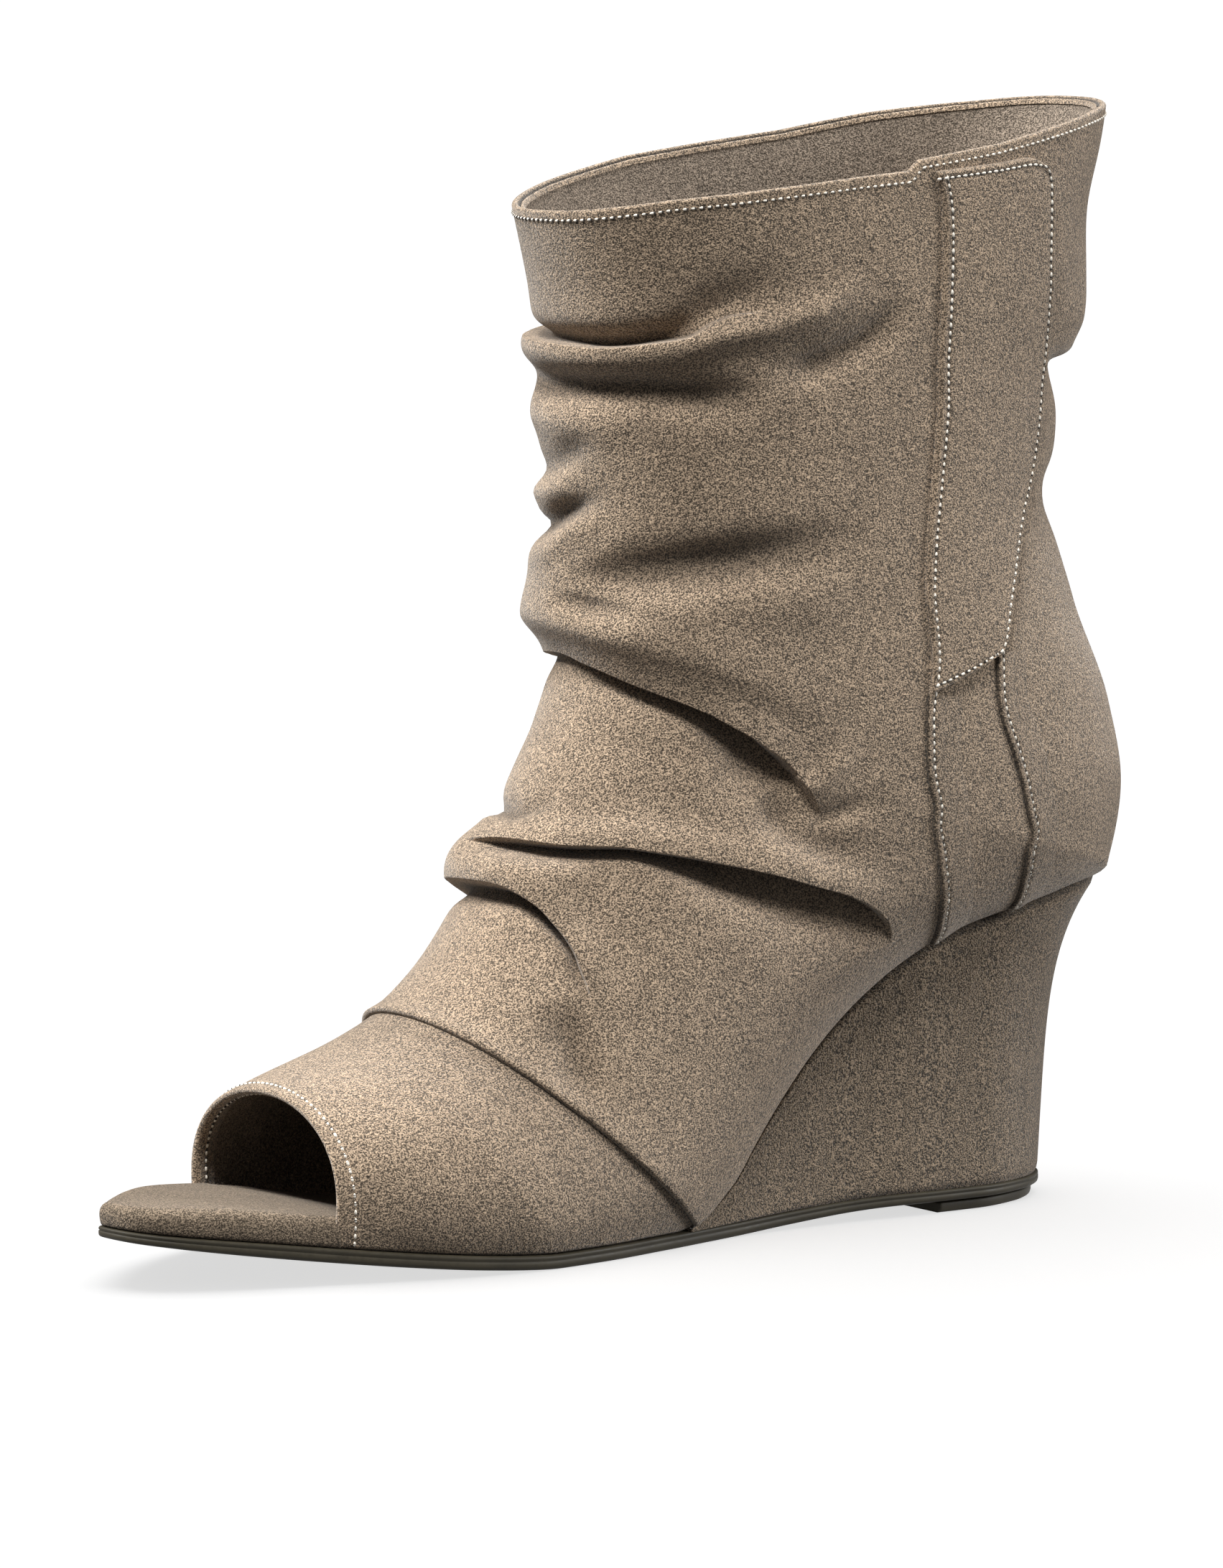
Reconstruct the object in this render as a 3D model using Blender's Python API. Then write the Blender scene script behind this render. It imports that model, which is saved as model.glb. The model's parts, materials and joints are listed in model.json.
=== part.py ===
# Peep toe ankle boot with a slouched suede shaft on a covered wedge, right shoe.
# Metres. The toe points along -X, the inner side of the foot along -Y, +Z is up.
import math

import bmesh
import bpy
import numpy as np

# driving sizes
SOLE_LENGTH = 0.236
BALL_WIDTH = 0.080
HEEL_SEAT_HEIGHT = 0.069
COLLAR_HEIGHT = 0.236
TOE_SPRING = 0.0103
TREAD_THICKNESS = 0.0030
TIP_TREAD_THICKNESS = 0.0022
WAIST_TREAD_THICKNESS = 0.0025
WAIST_LIFT = 0.0025
HEEL_FLARE = 0.017
INSOLE_THICKNESS = 0.0032
INSOLE_TOE_THICKNESS = 0.0060
INSOLE_TIP_THICKNESS = 0.0044
WALL_THICKNESS = 0.0013
SEAM_STEP = 0.0009
FLAP_THICKNESS = 0.0014
PIECE_GAP = 0.0003
FOOT_GAP = 0.0005
UPPER_MARGIN = 0.0008
LIFT_MARGIN = 0.0012
WEDGE_MARGIN = 0.0002
INSOLE_SIDE_GAP = 0.0004
INSOLE_REST_GAP = 0.0006
TOE_OPENING_SHARE = 0.174
SPRING_SHARE = 0.38
SPRING_POWER = 1.35
WAIST_START_SHARE = 0.57
WAIST_END_SHARE = 0.80
NARROW_HALF_WIDTH = 0.012
TREAD_EDGE_ROUND = 0.0006
INSOLE_EDGE_ROUND = 0.0020
INSOLE_INNER_MARGIN = 0.0009
INSOLE_TUCK_START_SHARE = 0.152
INSOLE_TUCK_END_SHARE = 0.168
INSOLE_BACK_START_SHARE = 0.194
LIFT_START_SHARE = 0.84
WEDGE_START_SHARE = 0.545
WEDGE_SEAT_SHARE = 0.83
TOE_LEAN = 0.0020
MERGE_DISTANCE = 0.000002
WEDGE_LEVELS = (0.0, 0.28, 0.52, 0.70, 0.84, 0.94, 1.0)
WEDGE_EVEN_FLARE = 0.25
WEDGE_FLARE_POWER = 5
FLARE_START_SHARE = 0.80
FULL_TREAD_SHARE = 0.15
SHIFT_FADE_STATION = 0.30
NARROWEST_FOOT = 0.999
NORMAL_STEP = 0.002

# where the origin lies along the shoe, from the toe tip: the middle of the heel lift
ORIGIN_SHARE = 0.90

# outline of the sole: share of length, inner edge and outer edge as shares of ball width
OUTLINE_COLUMNS = ("length", "inner", "outer")
OUTLINE = (
    (0.000, 0.062, 0.062),
    (0.009, 0.172, 0.018),
    (0.030, 0.232, -0.058),
    (0.069, 0.288, -0.165),
    (0.120, 0.338, -0.265),
    (0.172, 0.380, -0.338),
    (0.237, 0.432, -0.408),
    (0.300, 0.470, -0.465),
    (0.360, 0.482, -0.503),
    (0.430, 0.456, -0.512),
    (0.517, 0.390, -0.480),
    (0.600, 0.322, -0.420),
    (0.670, 0.292, -0.382),
    (0.733, 0.284, -0.350),
    (0.820, 0.296, -0.325),
    (0.884, 0.292, -0.305),
    (0.940, 0.245, -0.255),
    (0.978, 0.160, -0.168),
    (1.000, 0.000, 0.000),
)

# feather line where the upper meets the sole: share of length, share of heel seat height
FEATHER_COLUMNS = ("length", "height")
FEATHER = (
    (0.500, 0.036),
    (0.542, 0.048),
    (0.572, 0.092),
    (0.602, 0.168),
    (0.627, 0.275),
    (0.655, 0.390),
    (0.685, 0.505),
    (0.717, 0.610),
    (0.750, 0.700),
    (0.790, 0.790),
    (0.830, 0.855),
    (0.870, 0.898),
    (0.910, 0.928),
    (0.960, 0.960),
    (1.000, 0.985),
    (1.080, 1.010),
)

# thickness of the insole: share of sole length, metres
INSOLE_THICK_COLUMNS = ("length", "thickness")
INSOLE_THICK = (
    (0.00, INSOLE_TIP_THICKNESS),
    (0.10, INSOLE_TOE_THICKNESS),
    (0.18, INSOLE_TOE_THICKNESS),
    (0.32, INSOLE_THICKNESS),
)

# rows of the insole's rounded edge: share of its thickness, share of the edge round it is moved in
INSOLE_ROWS_COLUMNS = ("rise", "inset")
INSOLE_ROWS = (
    (0.00, 1.0),
    (0.25, 0.2),
    (0.50, 0.0),
    (0.78, 0.2),
    (1.00, 1.0),
)

# sections of the upper, from the toe opening to the collar: lengths as shares of sole length,
# heights of collar height, half widths of ball width, widest as a share of the section's height
SECTION_COLUMNS = (
    "name", "station", "front length", "front height", "back length", "back height",
    "half width", "widest", "roundness",
)
SECTIONS = (
    ("toe edge", 0.000, 0.174, 0.157, 0.174, None, 0.362, 0.30, 2.1),
    ("vamp front", 0.050, 0.217, 0.170, 0.262, None, 0.455, 0.26, 2.1),
    ("ball", 0.105, 0.260, 0.184, 0.385, None, 0.512, 0.22, 2.1),
    ("vamp back", 0.160, 0.288, 0.196, 0.470, None, 0.500, 0.25, 2.1),
    ("vamp seam", 0.210, 0.314, 0.210, 0.550, None, 0.478, 0.30, 2.1),
    ("waist", 0.260, 0.362, 0.247, 0.668, None, 0.445, 0.36, 2.1),
    ("shank", 0.310, 0.402, 0.302, 0.790, None, 0.432, 0.41, 2.1),
    ("seat front", 0.365, 0.433, 0.362, 0.910, None, 0.440, 0.46, 2.1),
    ("seat back", 0.420, 0.464, 0.420, 1.030, None, 0.452, 0.50, 2.1),
    ("heel back", 0.455, 0.484, 0.456, 1.068, 0.300, 0.460, 0.52, 2.1),
    ("heel bulge", 0.510, 0.500, 0.505, 1.082, 0.372, 0.465, 0.53, 2.1),
    ("ankle low", 0.570, 0.500, 0.556, 1.066, 0.448, 0.462, 0.52, 2.1),
    ("ankle", 0.650, 0.492, 0.620, 1.024, 0.545, 0.455, 0.51, 2.1),
    ("ankle narrow", 0.735, 0.494, 0.690, 0.998, 0.635, 0.452, 0.50, 2.1),
    ("shaft", 0.820, 0.490, 0.765, 1.005, 0.735, 0.458, 0.50, 2.1),
    ("shaft high", 0.910, 0.484, 0.835, 1.036, 0.865, 0.468, 0.50, 2.2),
    ("collar", 1.000, 0.468, 0.905, 1.052, 1.000, 0.475, 0.50, 2.3),
)
SEAM_STATION = 0.210
CLOSED_STATION = 0.455

# slouch folds: peak above the skin (ridges up, troughs down), width above and below the line,
# shares of the line over which it fades in and out, then the line as (place around, station)
FOLD_COLUMNS = ("name", "peak", "above", "below", "fade in", "fade out", "line")
FOLDS = (
    ("collar tuck", -0.0028, 0.0048, 0.0020, 0.20, 0.30, (
        (-0.48, 0.885), (-0.30, 0.872), (-0.08, 0.861), (0.06, 0.857), (0.15, 0.859), (0.22, 0.868),
        (0.29, 0.886), (0.37, 0.905),
    )),
    ("collar roll", 0.0028, 0.0024, 0.0045, 0.20, 0.30, (
        (-0.48, 0.868), (-0.30, 0.852), (-0.08, 0.842), (0.10, 0.839), (0.20, 0.844), (0.30, 0.861),
        (0.38, 0.885), (0.45, 0.908),
    )),
    ("under collar roll", -0.0018, 0.0045, 0.0070, 0.25, 0.30, (
        (-0.30, 0.820), (-0.12, 0.815), (0.03, 0.812), (0.12, 0.803), (0.25, 0.806), (0.33, 0.823),
        (0.41, 0.848), (0.47, 0.875),
    )),
    ("shin trough", -0.0018, 0.0060, 0.0060, 0.35, 0.35, (
        (-0.40, 0.730), (-0.22, 0.742), (-0.08, 0.735), (0.02, 0.715), (0.08, 0.698),
    )),
    ("middle trough", -0.0018, 0.0060, 0.0075, 0.30, 0.40, (
        (0.03, 0.655), (0.12, 0.647), (0.22, 0.648), (0.32, 0.662), (0.44, 0.682),
    )),
    ("middle swell", 0.0012, 0.0080, 0.0080, 0.30, 0.40, (
        (-0.15, 0.610), (0.05, 0.618), (0.20, 0.615), (0.34, 0.622), (0.44, 0.640),
    )),
    ("small dent", -0.0010, 0.0030, 0.0040, 0.40, 0.40, (
        (0.00, 0.600), (0.07, 0.585), (0.15, 0.577),
    )),
    ("ankle roll", 0.0046, 0.0120, 0.0050, 0.25, 0.35, (
        (-0.55, 0.545), (-0.35, 0.565), (-0.12, 0.560), (0.00, 0.551), (0.10, 0.540), (0.20, 0.528),
        (0.30, 0.515), (0.38, 0.500),
    )),
    ("ankle tuck", -0.0044, 0.0026, 0.0062, 0.20, 0.22, (
        (-0.55, 0.505), (-0.35, 0.520), (-0.12, 0.515), (0.00, 0.503), (0.10, 0.490), (0.20, 0.474),
        (0.28, 0.458), (0.34, 0.445),
    )),
    ("ankle pocket", -0.0034, 0.0060, 0.0080, 0.35, 0.35, (
        (0.14, 0.470), (0.22, 0.460), (0.30, 0.446), (0.38, 0.432), (0.44, 0.425),
    )),
    ("instep roll", 0.0044, 0.0080, 0.0045, 0.35, 0.25, (
        (-0.04, 0.392), (0.08, 0.386), (0.20, 0.382), (0.34, 0.384), (0.50, 0.378), (0.64, 0.366),
        (0.76, 0.350), (0.85, 0.334),
    )),
    ("instep tuck", -0.0050, 0.0026, 0.0065, 0.22, 0.15, (
        (-0.55, 0.368), (-0.32, 0.376), (-0.12, 0.371), (0.00, 0.363), (0.10, 0.356), (0.23, 0.352),
        (0.38, 0.346), (0.55, 0.336), (0.70, 0.327), (0.82, 0.318),
    )),
    ("instep pocket", -0.0028, 0.0050, 0.0090, 0.35, 0.30, (
        (0.46, 0.333), (0.60, 0.322), (0.72, 0.314), (0.82, 0.308),
    )),
    ("vamp roll", 0.0054, 0.0055, 0.0048, 0.25, 0.35, (
        (-0.55, 0.332), (-0.34, 0.345), (-0.14, 0.343), (0.00, 0.339), (0.10, 0.331), (0.18, 0.316),
        (0.24, 0.294), (0.28, 0.270),
    )),
    ("vamp tuck", -0.0040, 0.0022, 0.0055, 0.25, 0.35, (
        (-0.55, 0.295), (-0.34, 0.308), (-0.14, 0.309), (-0.04, 0.313), (0.05, 0.316),
        (0.12, 0.312), (0.18, 0.302), (0.23, 0.288), (0.28, 0.268), (0.33, 0.250),
    )),
    ("vamp hollow", -0.0012, 0.0055, 0.0055, 0.40, 0.45, (
        (0.30, 0.262), (0.37, 0.245), (0.46, 0.230), (0.56, 0.214),
    )),
    ("back overhang", 0.0018, 0.0090, 0.0035, 0.30, 0.30, (
        (0.78, 0.878), (0.88, 0.872), (1.00, 0.876), (1.15, 0.885), (1.28, 0.897),
    )),
    ("back tuck", -0.0048, 0.0026, 0.0080, 0.30, 0.30, (
        (0.76, 0.845), (0.86, 0.838), (1.00, 0.842), (1.15, 0.852), (1.28, 0.868),
    )),
    ("back trough", -0.0022, 0.0060, 0.0070, 0.30, 0.35, (
        (0.78, 0.750), (0.88, 0.746), (1.00, 0.748), (1.15, 0.756), (1.30, 0.770),
    )),
    ("outer ankle roll", 0.0026, 0.0080, 0.0050, 0.35, 0.35, (
        (-0.95, 0.600), (-0.78, 0.625), (-0.60, 0.660), (-0.45, 0.680), (-0.30, 0.676),
    )),
    ("outer ankle tuck", -0.0026, 0.0040, 0.0070, 0.35, 0.35, (
        (-0.95, 0.570), (-0.78, 0.595), (-0.60, 0.632), (-0.45, 0.652), (-0.30, 0.652),
    )),
)
FOLD_STEPS = 6
FINEST_WIDTH = 0.0034

# the overlay on the inner side: share down the overlay, place of its front and back edge
FLAP_TABLE_COLUMNS = ("down", "front", "back")
FLAP = (
    (0.00, 0.520, 0.715),
    (0.15, 0.540, 0.735),
    (0.30, 0.560, 0.765),
    (0.45, 0.570, 0.772),
    (0.60, 0.552, 0.745),
    (0.80, 0.512, 0.690),
    (1.00, 0.480, 0.625),
)
FLAP_TOP_STATION = 0.984
FLAP_FRONT_END_STATION = 0.548
FLAP_BACK_END_STATION = 0.595
FLAP_CORNER_DROP = 0.010
FLAP_CORNER_START = 0.7

# how finely each piece is cut
ARC_STEPS = 61
FOOT_LINE_COUNT = 400
AROUND_COUNT = 24
TOE_STATION_COUNT = 7
HEEL_STATION_COUNT = 15
SHAFT_STATION_COUNT = 28
OUTLINE_COUNT = 32
LIFT_COUNT = 12
WEDGE_ARCH_COUNT = 14
WEDGE_SEAT_COUNT = 13
INSOLE_TOE_COUNT = 9
INSOLE_TUCK_COUNT = 5
INSOLE_BACK_COUNT = 24
FLAP_ROWS = 22
FLAP_COLUMNS = 7


def column(table, names, wanted):
    """One named column of a table."""
    return [row[names.index(wanted)] for row in table]


def eased(nodes, values, position):
    """Monotone cubic through a table's rows."""
    nodes = np.asarray(nodes, float)
    values = np.asarray(values, float)
    step = np.diff(nodes)
    slope = np.diff(values) / step
    tangent = np.zeros(len(nodes))
    tangent[0] = slope[0]
    tangent[-1] = slope[-1]
    for i in range(1, len(nodes) - 1):
        if slope[i - 1] * slope[i] > 0.0:
            near = 2.0 * step[i] + step[i - 1]
            far = step[i] + 2.0 * step[i - 1]
            tangent[i] = (near + far) / (near / slope[i - 1] + far / slope[i])
    place = np.clip(np.asarray(position, float), nodes[0], nodes[-1])
    index = np.clip(np.searchsorted(nodes, place, side="right") - 1, 0, len(step) - 1)
    width = step[index]
    share = (place - nodes[index]) / width
    low = values[index] * (1.0 + 2.0 * share) * (1.0 - share) ** 2
    high = values[index + 1] * share ** 2 * (3.0 - 2.0 * share)
    start = tangent[index] * width * share * (1.0 - share) ** 2
    end = tangent[index + 1] * width * share ** 2 * (share - 1.0)
    return low + high + start + end


def smooth_step(low, high, position):
    share = np.clip((np.asarray(position, float) - low) / (high - low), 0.0, 1.0)
    return share * share * (3.0 - 2.0 * share)


def turn_angle(share):
    return np.arccos(np.clip(1.0 - 2.0 * np.asarray(share, float), -1.0, 1.0))


def tread_bottom(along):
    """Underside of the tread: toe spring, flat ball and raised waist."""
    share = along / SOLE_LENGTH
    spring = TOE_SPRING * np.clip(1.0 - share / SPRING_SHARE, 0.0, 1.0) ** SPRING_POWER
    return spring + WAIST_LIFT * smooth_step(WAIST_START_SHARE, WAIST_END_SHARE, share)


def tread_top(along):
    shares = (0.0, FULL_TREAD_SHARE, WAIST_START_SHARE, WAIST_END_SHARE, 1.0)
    ball = TREAD_THICKNESS
    waist = WAIST_TREAD_THICKNESS
    thick = eased(shares, (TIP_TREAD_THICKNESS, ball, ball, waist, waist), along / SOLE_LENGTH)
    return tread_bottom(along) + thick


def feather_height(along):
    """Height of the line where the upper meets the sole."""
    lengths = column(FEATHER, FEATHER_COLUMNS, "length")
    heights = column(FEATHER, FEATHER_COLUMNS, "height")
    raised = eased(lengths, heights, along / SOLE_LENGTH) * HEEL_SEAT_HEIGHT
    return np.maximum(raised, tread_top(along))


def seat_shift(share):
    """How far the top of the wedge leans back beyond the sole."""
    return HEEL_FLARE * smooth_step(FLARE_START_SHARE, 1.0, share)


def plan_edges(share, margin, lean=0.0):
    """Lengths, inner sides and outer sides of the sole's outline, moved in by a margin."""
    angles = turn_angle(column(OUTLINE, OUTLINE_COLUMNS, "length"))
    inner = eased(angles, column(OUTLINE, OUTLINE_COLUMNS, "inner"), turn_angle(share)) * BALL_WIDTH
    outer = eased(angles, column(OUTLINE, OUTLINE_COLUMNS, "outer"), turn_angle(share)) * BALL_WIDTH
    margin = np.broadcast_to(margin, np.shape(share))
    along = margin[0] + share * (SOLE_LENGTH - margin[0] - margin[-1]) + lean * seat_shift(share)
    middle = (inner + outer) / 2.0
    half = (inner - outer) / 2.0
    half = half - margin * np.minimum(1.0, half / NARROW_HALF_WIDTH)
    return along, middle + half, middle - half


def foot_line(along):
    """Middle and half width of the upper's foot at a length."""
    share = turn_shares(0.0, 1.0, FOOT_LINE_COUNT)
    place, inner, outer = plan_edges(share, UPPER_MARGIN, 1.0)
    inner_side = np.interp(along, place, inner)
    outer_side = np.interp(along, place, outer)
    return (inner_side + outer_side) / 2.0, (inner_side - outer_side) / 2.0


def turn_shares(first, last, count):
    """Shares of the length that crowd toward the round ends."""
    start = turn_angle(first)
    end = turn_angle(last)
    return (1.0 - np.cos(np.linspace(start, end, count))) / 2.0


def section_value(name, station):
    """One measure of the upper's section at a station; the open sections have no back height."""
    filled = [row for row in SECTIONS if row[SECTION_COLUMNS.index(name)] is not None]
    stations = column(filled, SECTION_COLUMNS, "station")
    return eased(stations, column(filled, SECTION_COLUMNS, name), station)


def skin(station, around):
    """Points of the bare upper at stations from toe to collar and shares around the section."""
    station = np.asarray(station, float)
    around = np.asarray(around, float)
    front_along = section_value("front length", station) * SOLE_LENGTH
    front_up = section_value("front height", station) * COLLAR_HEIGHT
    back_along = section_value("back length", station) * SOLE_LENGTH
    half = section_value("half width", station) * BALL_WIDTH
    widest = section_value("widest", station)
    roundness = section_value("roundness", station)
    raised = section_value("back height", station) * COLLAR_HEIGHT
    foot_up = feather_height(back_along) + FOOT_GAP
    back_up = np.where(station < CLOSED_STATION, foot_up, raised)
    middle, foot = foot_line(back_along)
    foot = np.where(station < CLOSED_STATION, foot, 0.0)
    foot = np.minimum(foot, half * NARROWEST_FOOT)
    reach = (1.0 - (foot / half) ** roundness) ** (1.0 / roundness)
    low_angle = np.arcsin(np.clip(reach ** (roundness / 2.0), 0.0, 1.0))
    steps = np.linspace(0.0, 1.0, ARC_STEPS)
    angle = -low_angle[:, None] + steps * (low_angle + math.pi / 2.0)[:, None]
    power = (2.0 / roundness)[:, None]
    rise = np.abs(np.sin(angle)) ** power
    wide = half[:, None] * np.abs(np.cos(angle)) ** power
    share_up = np.where(
        angle < 0.0,
        widest[:, None] * (1.0 - rise / reach[:, None]),
        widest[:, None] + (1.0 - widest[:, None]) * rise,
    )
    tall = np.hypot(front_along - back_along, front_up - back_up)
    pieces = np.hypot(np.diff(wide, axis=1), np.diff(share_up, axis=1) * tall[:, None])
    length = np.concatenate((np.zeros((len(station), 1)), np.cumsum(pieces, axis=1)), axis=1)
    target = (1.0 - np.abs(around)) * length[:, -1]
    index = np.clip((length < target[:, None]).sum(1) - 1, 0, ARC_STEPS - 2)
    row = np.arange(len(station))
    part = (target - length[row, index]) / np.maximum(pieces[row, index], 1e-12)
    width = wide[row, index] + part * (wide[row, index + 1] - wide[row, index])
    climb = share_up[row, index] + part * (share_up[row, index + 1] - share_up[row, index])
    top_lean = TOE_LEAN * (1.0 - smooth_step(0.0, CLOSED_STATION, station))
    foot_shift = middle * (1.0 - smooth_step(SHIFT_FADE_STATION, CLOSED_STATION, station))
    shift = foot_shift * (1.0 - climb) + top_lean * climb
    along = back_along + climb * (front_along - back_along)
    up = back_up + climb * (front_up - back_up)
    side = shift + np.sign(around) * width
    return np.stack((along, side, up), 1)


def bare_normals(shape, station, around):
    """Outward directions of a skin, by small steps along it."""
    step = NORMAL_STEP
    ahead = shape(np.clip(station + step, 0.0, 1.0), around)
    behind = shape(np.clip(station - step, 0.0, 1.0), around)
    closed = station >= CLOSED_STATION
    right = shape(station, np.where(closed, wrapped(around + step), np.clip(around + step, -1.0, 1.0)))
    left = shape(station, np.where(closed, wrapped(around - step), np.clip(around - step, -1.0, 1.0)))
    normal = np.cross(ahead - behind, right - left)
    return normal / np.maximum(np.linalg.norm(normal, axis=1), 1e-12)[:, None]


def wrapped(around):
    """Places past the back counted on from the other side."""
    return np.mod(np.asarray(around, float) + 1.0, 2.0) - 1.0


def fold_line(nodes):
    """Evenly refined line of a fold as places around and stations."""
    nodes = np.array(nodes)
    knots = np.arange(len(nodes))
    fine = np.linspace(0.0, len(nodes) - 1.0, FOLD_STEPS * (len(nodes) - 1) + 1)
    return np.stack((eased(knots, nodes[:, 0], fine), eased(knots, nodes[:, 1], fine)), 1)


def fold_height(points, station, around):
    """Sum of all folds' heights above the bare skin."""
    total = np.zeros(len(points))
    for row in FOLDS:
        peak, above, below, fade_in, fade_out, nodes = row[1:]
        line = fold_line(nodes)
        crest = skin(line[:, 1], wrapped(line[:, 0]))
        gap = points[:, None, :] - crest[None, :, :]
        distance = np.linalg.norm(gap, axis=2)
        nearest = distance.argmin(axis=1)
        offset = distance[np.arange(len(points)), nearest]
        ahead = line[np.minimum(nearest + 1, len(line) - 1)] - line[np.maximum(nearest - 1, 0)]
        turn = wrapped(around - line[nearest, 0])
        rise = station - line[nearest, 1]
        upper_side = ahead[:, 0] * rise - ahead[:, 1] * turn > 0.0
        width = np.maximum(np.where(upper_side, above, below), FINEST_WIDTH)
        place = nearest / (len(line) - 1.0)
        strength = smooth_step(0.0, fade_in, place) * (1.0 - smooth_step(1.0 - fade_out, 1.0, place))
        total += peak * strength * np.exp(-((offset / width) ** 2))
    return total


def folded_skin(station, around):
    """The upper's face with its slouch folds."""
    points = skin(station, around)
    normal = bare_normals(skin, station, around)
    return points + normal * fold_height(points, station, around)[:, None]


def shoe_to_row(points):
    """From length, inner side and height to the row's axes."""
    placed = np.empty_like(points)
    placed[..., 0] = points[..., 0] - ORIGIN_SHARE * SOLE_LENGTH
    placed[..., 1] = -points[..., 1]
    placed[..., 2] = points[..., 2]
    return placed


def make_material(name, colour, roughness):
    material = bpy.data.materials.new(name)
    material.use_nodes = True
    shader = material.node_tree.nodes["Principled BSDF"]
    shader.inputs["Base Color"].default_value = (*colour, 1.0)
    shader.inputs["Roughness"].default_value = roughness
    shader.inputs["Metallic"].default_value = 0.0
    return material


def make_object(name, points, faces, material):
    """One closed body from points in shoe axes and faces of their indices."""
    mesh = bpy.data.meshes.new(name)
    mesh.from_pydata([tuple(point) for point in shoe_to_row(np.asarray(points))], [], faces)
    body = bmesh.new()
    body.from_mesh(mesh)
    bmesh.ops.remove_doubles(body, verts=body.verts, dist=MERGE_DISTANCE)
    bmesh.ops.dissolve_degenerate(body, edges=body.edges, dist=MERGE_DISTANCE)
    bmesh.ops.recalc_face_normals(body, faces=body.faces)
    for face in body.faces:
        face.smooth = True
    body.to_mesh(mesh)
    body.free()
    mesh.materials.append(material)
    item = bpy.data.objects.new(name, mesh)
    bpy.context.scene.collection.objects.link(item)
    return item


def walled_body(name, rows, material):
    """Solid from rows of paired inner and outer edge points, lowest row first."""
    points = []
    starts = []
    count = len(rows[0][0])
    for inner, outer in rows:
        starts.append(len(points))
        points.extend(inner)
        points.extend(outer)
    faces = []
    for low, high in zip(starts[:-1], starts[1:]):
        for k in range(count - 1):
            faces.append((low + k, low + k + 1, high + k + 1, high + k))
            faces.append((low + count + k, low + count + k + 1, high + count + k + 1, high + count + k))
        faces.append((low, low + count, high + count, high))
        last = count - 1
        faces.append((low + last, low + count + last, high + count + last, high + last))
    for start in (starts[0], starts[-1]):
        for k in range(count - 1):
            faces.append((start + k, start + k + 1, start + count + k + 1, start + count + k))
    return make_object(name, points, faces, material)


def edge_row(share, margin, lean, height):
    """Paired edge points of a solid at one level; height is a rule of the length."""
    along, inner, outer = plan_edges(share, margin, lean)
    up = height(along)
    return np.stack((along, inner, up), 1), np.stack((along, outer, up), 1)


def make_outsole(material):
    share = turn_shares(0.0, 1.0, OUTLINE_COUNT)
    edge = TREAD_EDGE_ROUND
    rows = (
        edge_row(share, edge, 0.0, tread_bottom),
        edge_row(share, 0.0, 0.0, lambda along: tread_bottom(along) + edge),
        edge_row(share, 0.0, 0.0, lambda along: tread_top(along) - edge / 2.0),
        edge_row(share, edge / 2.0, 0.0, tread_top),
    )
    return walled_body("outsole", rows, material)


def make_heel_lift(material):
    share = turn_shares(LIFT_START_SHARE, 1.0, LIFT_COUNT)
    rows = (
        edge_row(share, LIFT_MARGIN, 0.0, lambda along: along * 0.0),
        edge_row(share, LIFT_MARGIN, 0.0, lambda along: tread_bottom(along) - PIECE_GAP),
    )
    return walled_body("heel_lift", rows, material)


def make_wedge(material):
    """Covered wedge: foot on the tread, top on the feather line, back flared out."""
    arch = np.linspace(WEDGE_START_SHARE, WEDGE_SEAT_SHARE, WEDGE_ARCH_COUNT)
    share = np.concatenate((arch, turn_shares(WEDGE_SEAT_SHARE, 1.0, WEDGE_SEAT_COUNT)[1:]))
    along, inner, outer = plan_edges(share, WEDGE_MARGIN, 0.0)
    foot = tread_top(along) + PIECE_GAP
    rows = []
    for level in WEDGE_LEVELS:
        flare = WEDGE_EVEN_FLARE * level + (1.0 - WEDGE_EVEN_FLARE) * level ** WEDGE_FLARE_POWER
        place = along + flare * seat_shift(share)
        top = feather_height(along + seat_shift(share))
        up = foot + level * (top - foot)
        rows.append((np.stack((place, inner, up), 1), np.stack((place, outer, up), 1)))
    return walled_body("wedge", rows, material)


def insole_margin(share):
    wide = UPPER_MARGIN + WALL_THICKNESS + INSOLE_SIDE_GAP + INSOLE_INNER_MARGIN
    blend = smooth_step(INSOLE_TUCK_START_SHARE, INSOLE_TUCK_END_SHARE, share)
    return WEDGE_MARGIN + blend * (wide - WEDGE_MARGIN)


def make_insole(material):
    """Wrapped footbed: flush with the tread at the open toe, inside the upper behind it."""
    front = turn_shares(0.0, INSOLE_TUCK_START_SHARE, INSOLE_TOE_COUNT)
    tuck = np.linspace(INSOLE_TUCK_START_SHARE, INSOLE_TUCK_END_SHARE, INSOLE_TUCK_COUNT)[1:]
    back = turn_shares(INSOLE_BACK_START_SHARE, 1.0, INSOLE_BACK_COUNT)
    share = np.concatenate((front, tuck, back))
    margin = insole_margin(share)

    def level(rise):
        def height(along):
            shares = column(INSOLE_THICK, INSOLE_THICK_COLUMNS, "length")
            levels = column(INSOLE_THICK, INSOLE_THICK_COLUMNS, "thickness")
            thick = eased(shares, levels, along / SOLE_LENGTH)
            return feather_height(along) + INSOLE_REST_GAP + rise * thick
        return height

    rises = column(INSOLE_ROWS, INSOLE_ROWS_COLUMNS, "rise")
    insets = column(INSOLE_ROWS, INSOLE_ROWS_COLUMNS, "inset")
    rows = []
    for rise, inset in zip(rises, insets):
        rows.append(edge_row(share, margin + inset * INSOLE_EDGE_ROUND, 1.0, level(rise)))
    return walled_body("insole", rows, material)


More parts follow.
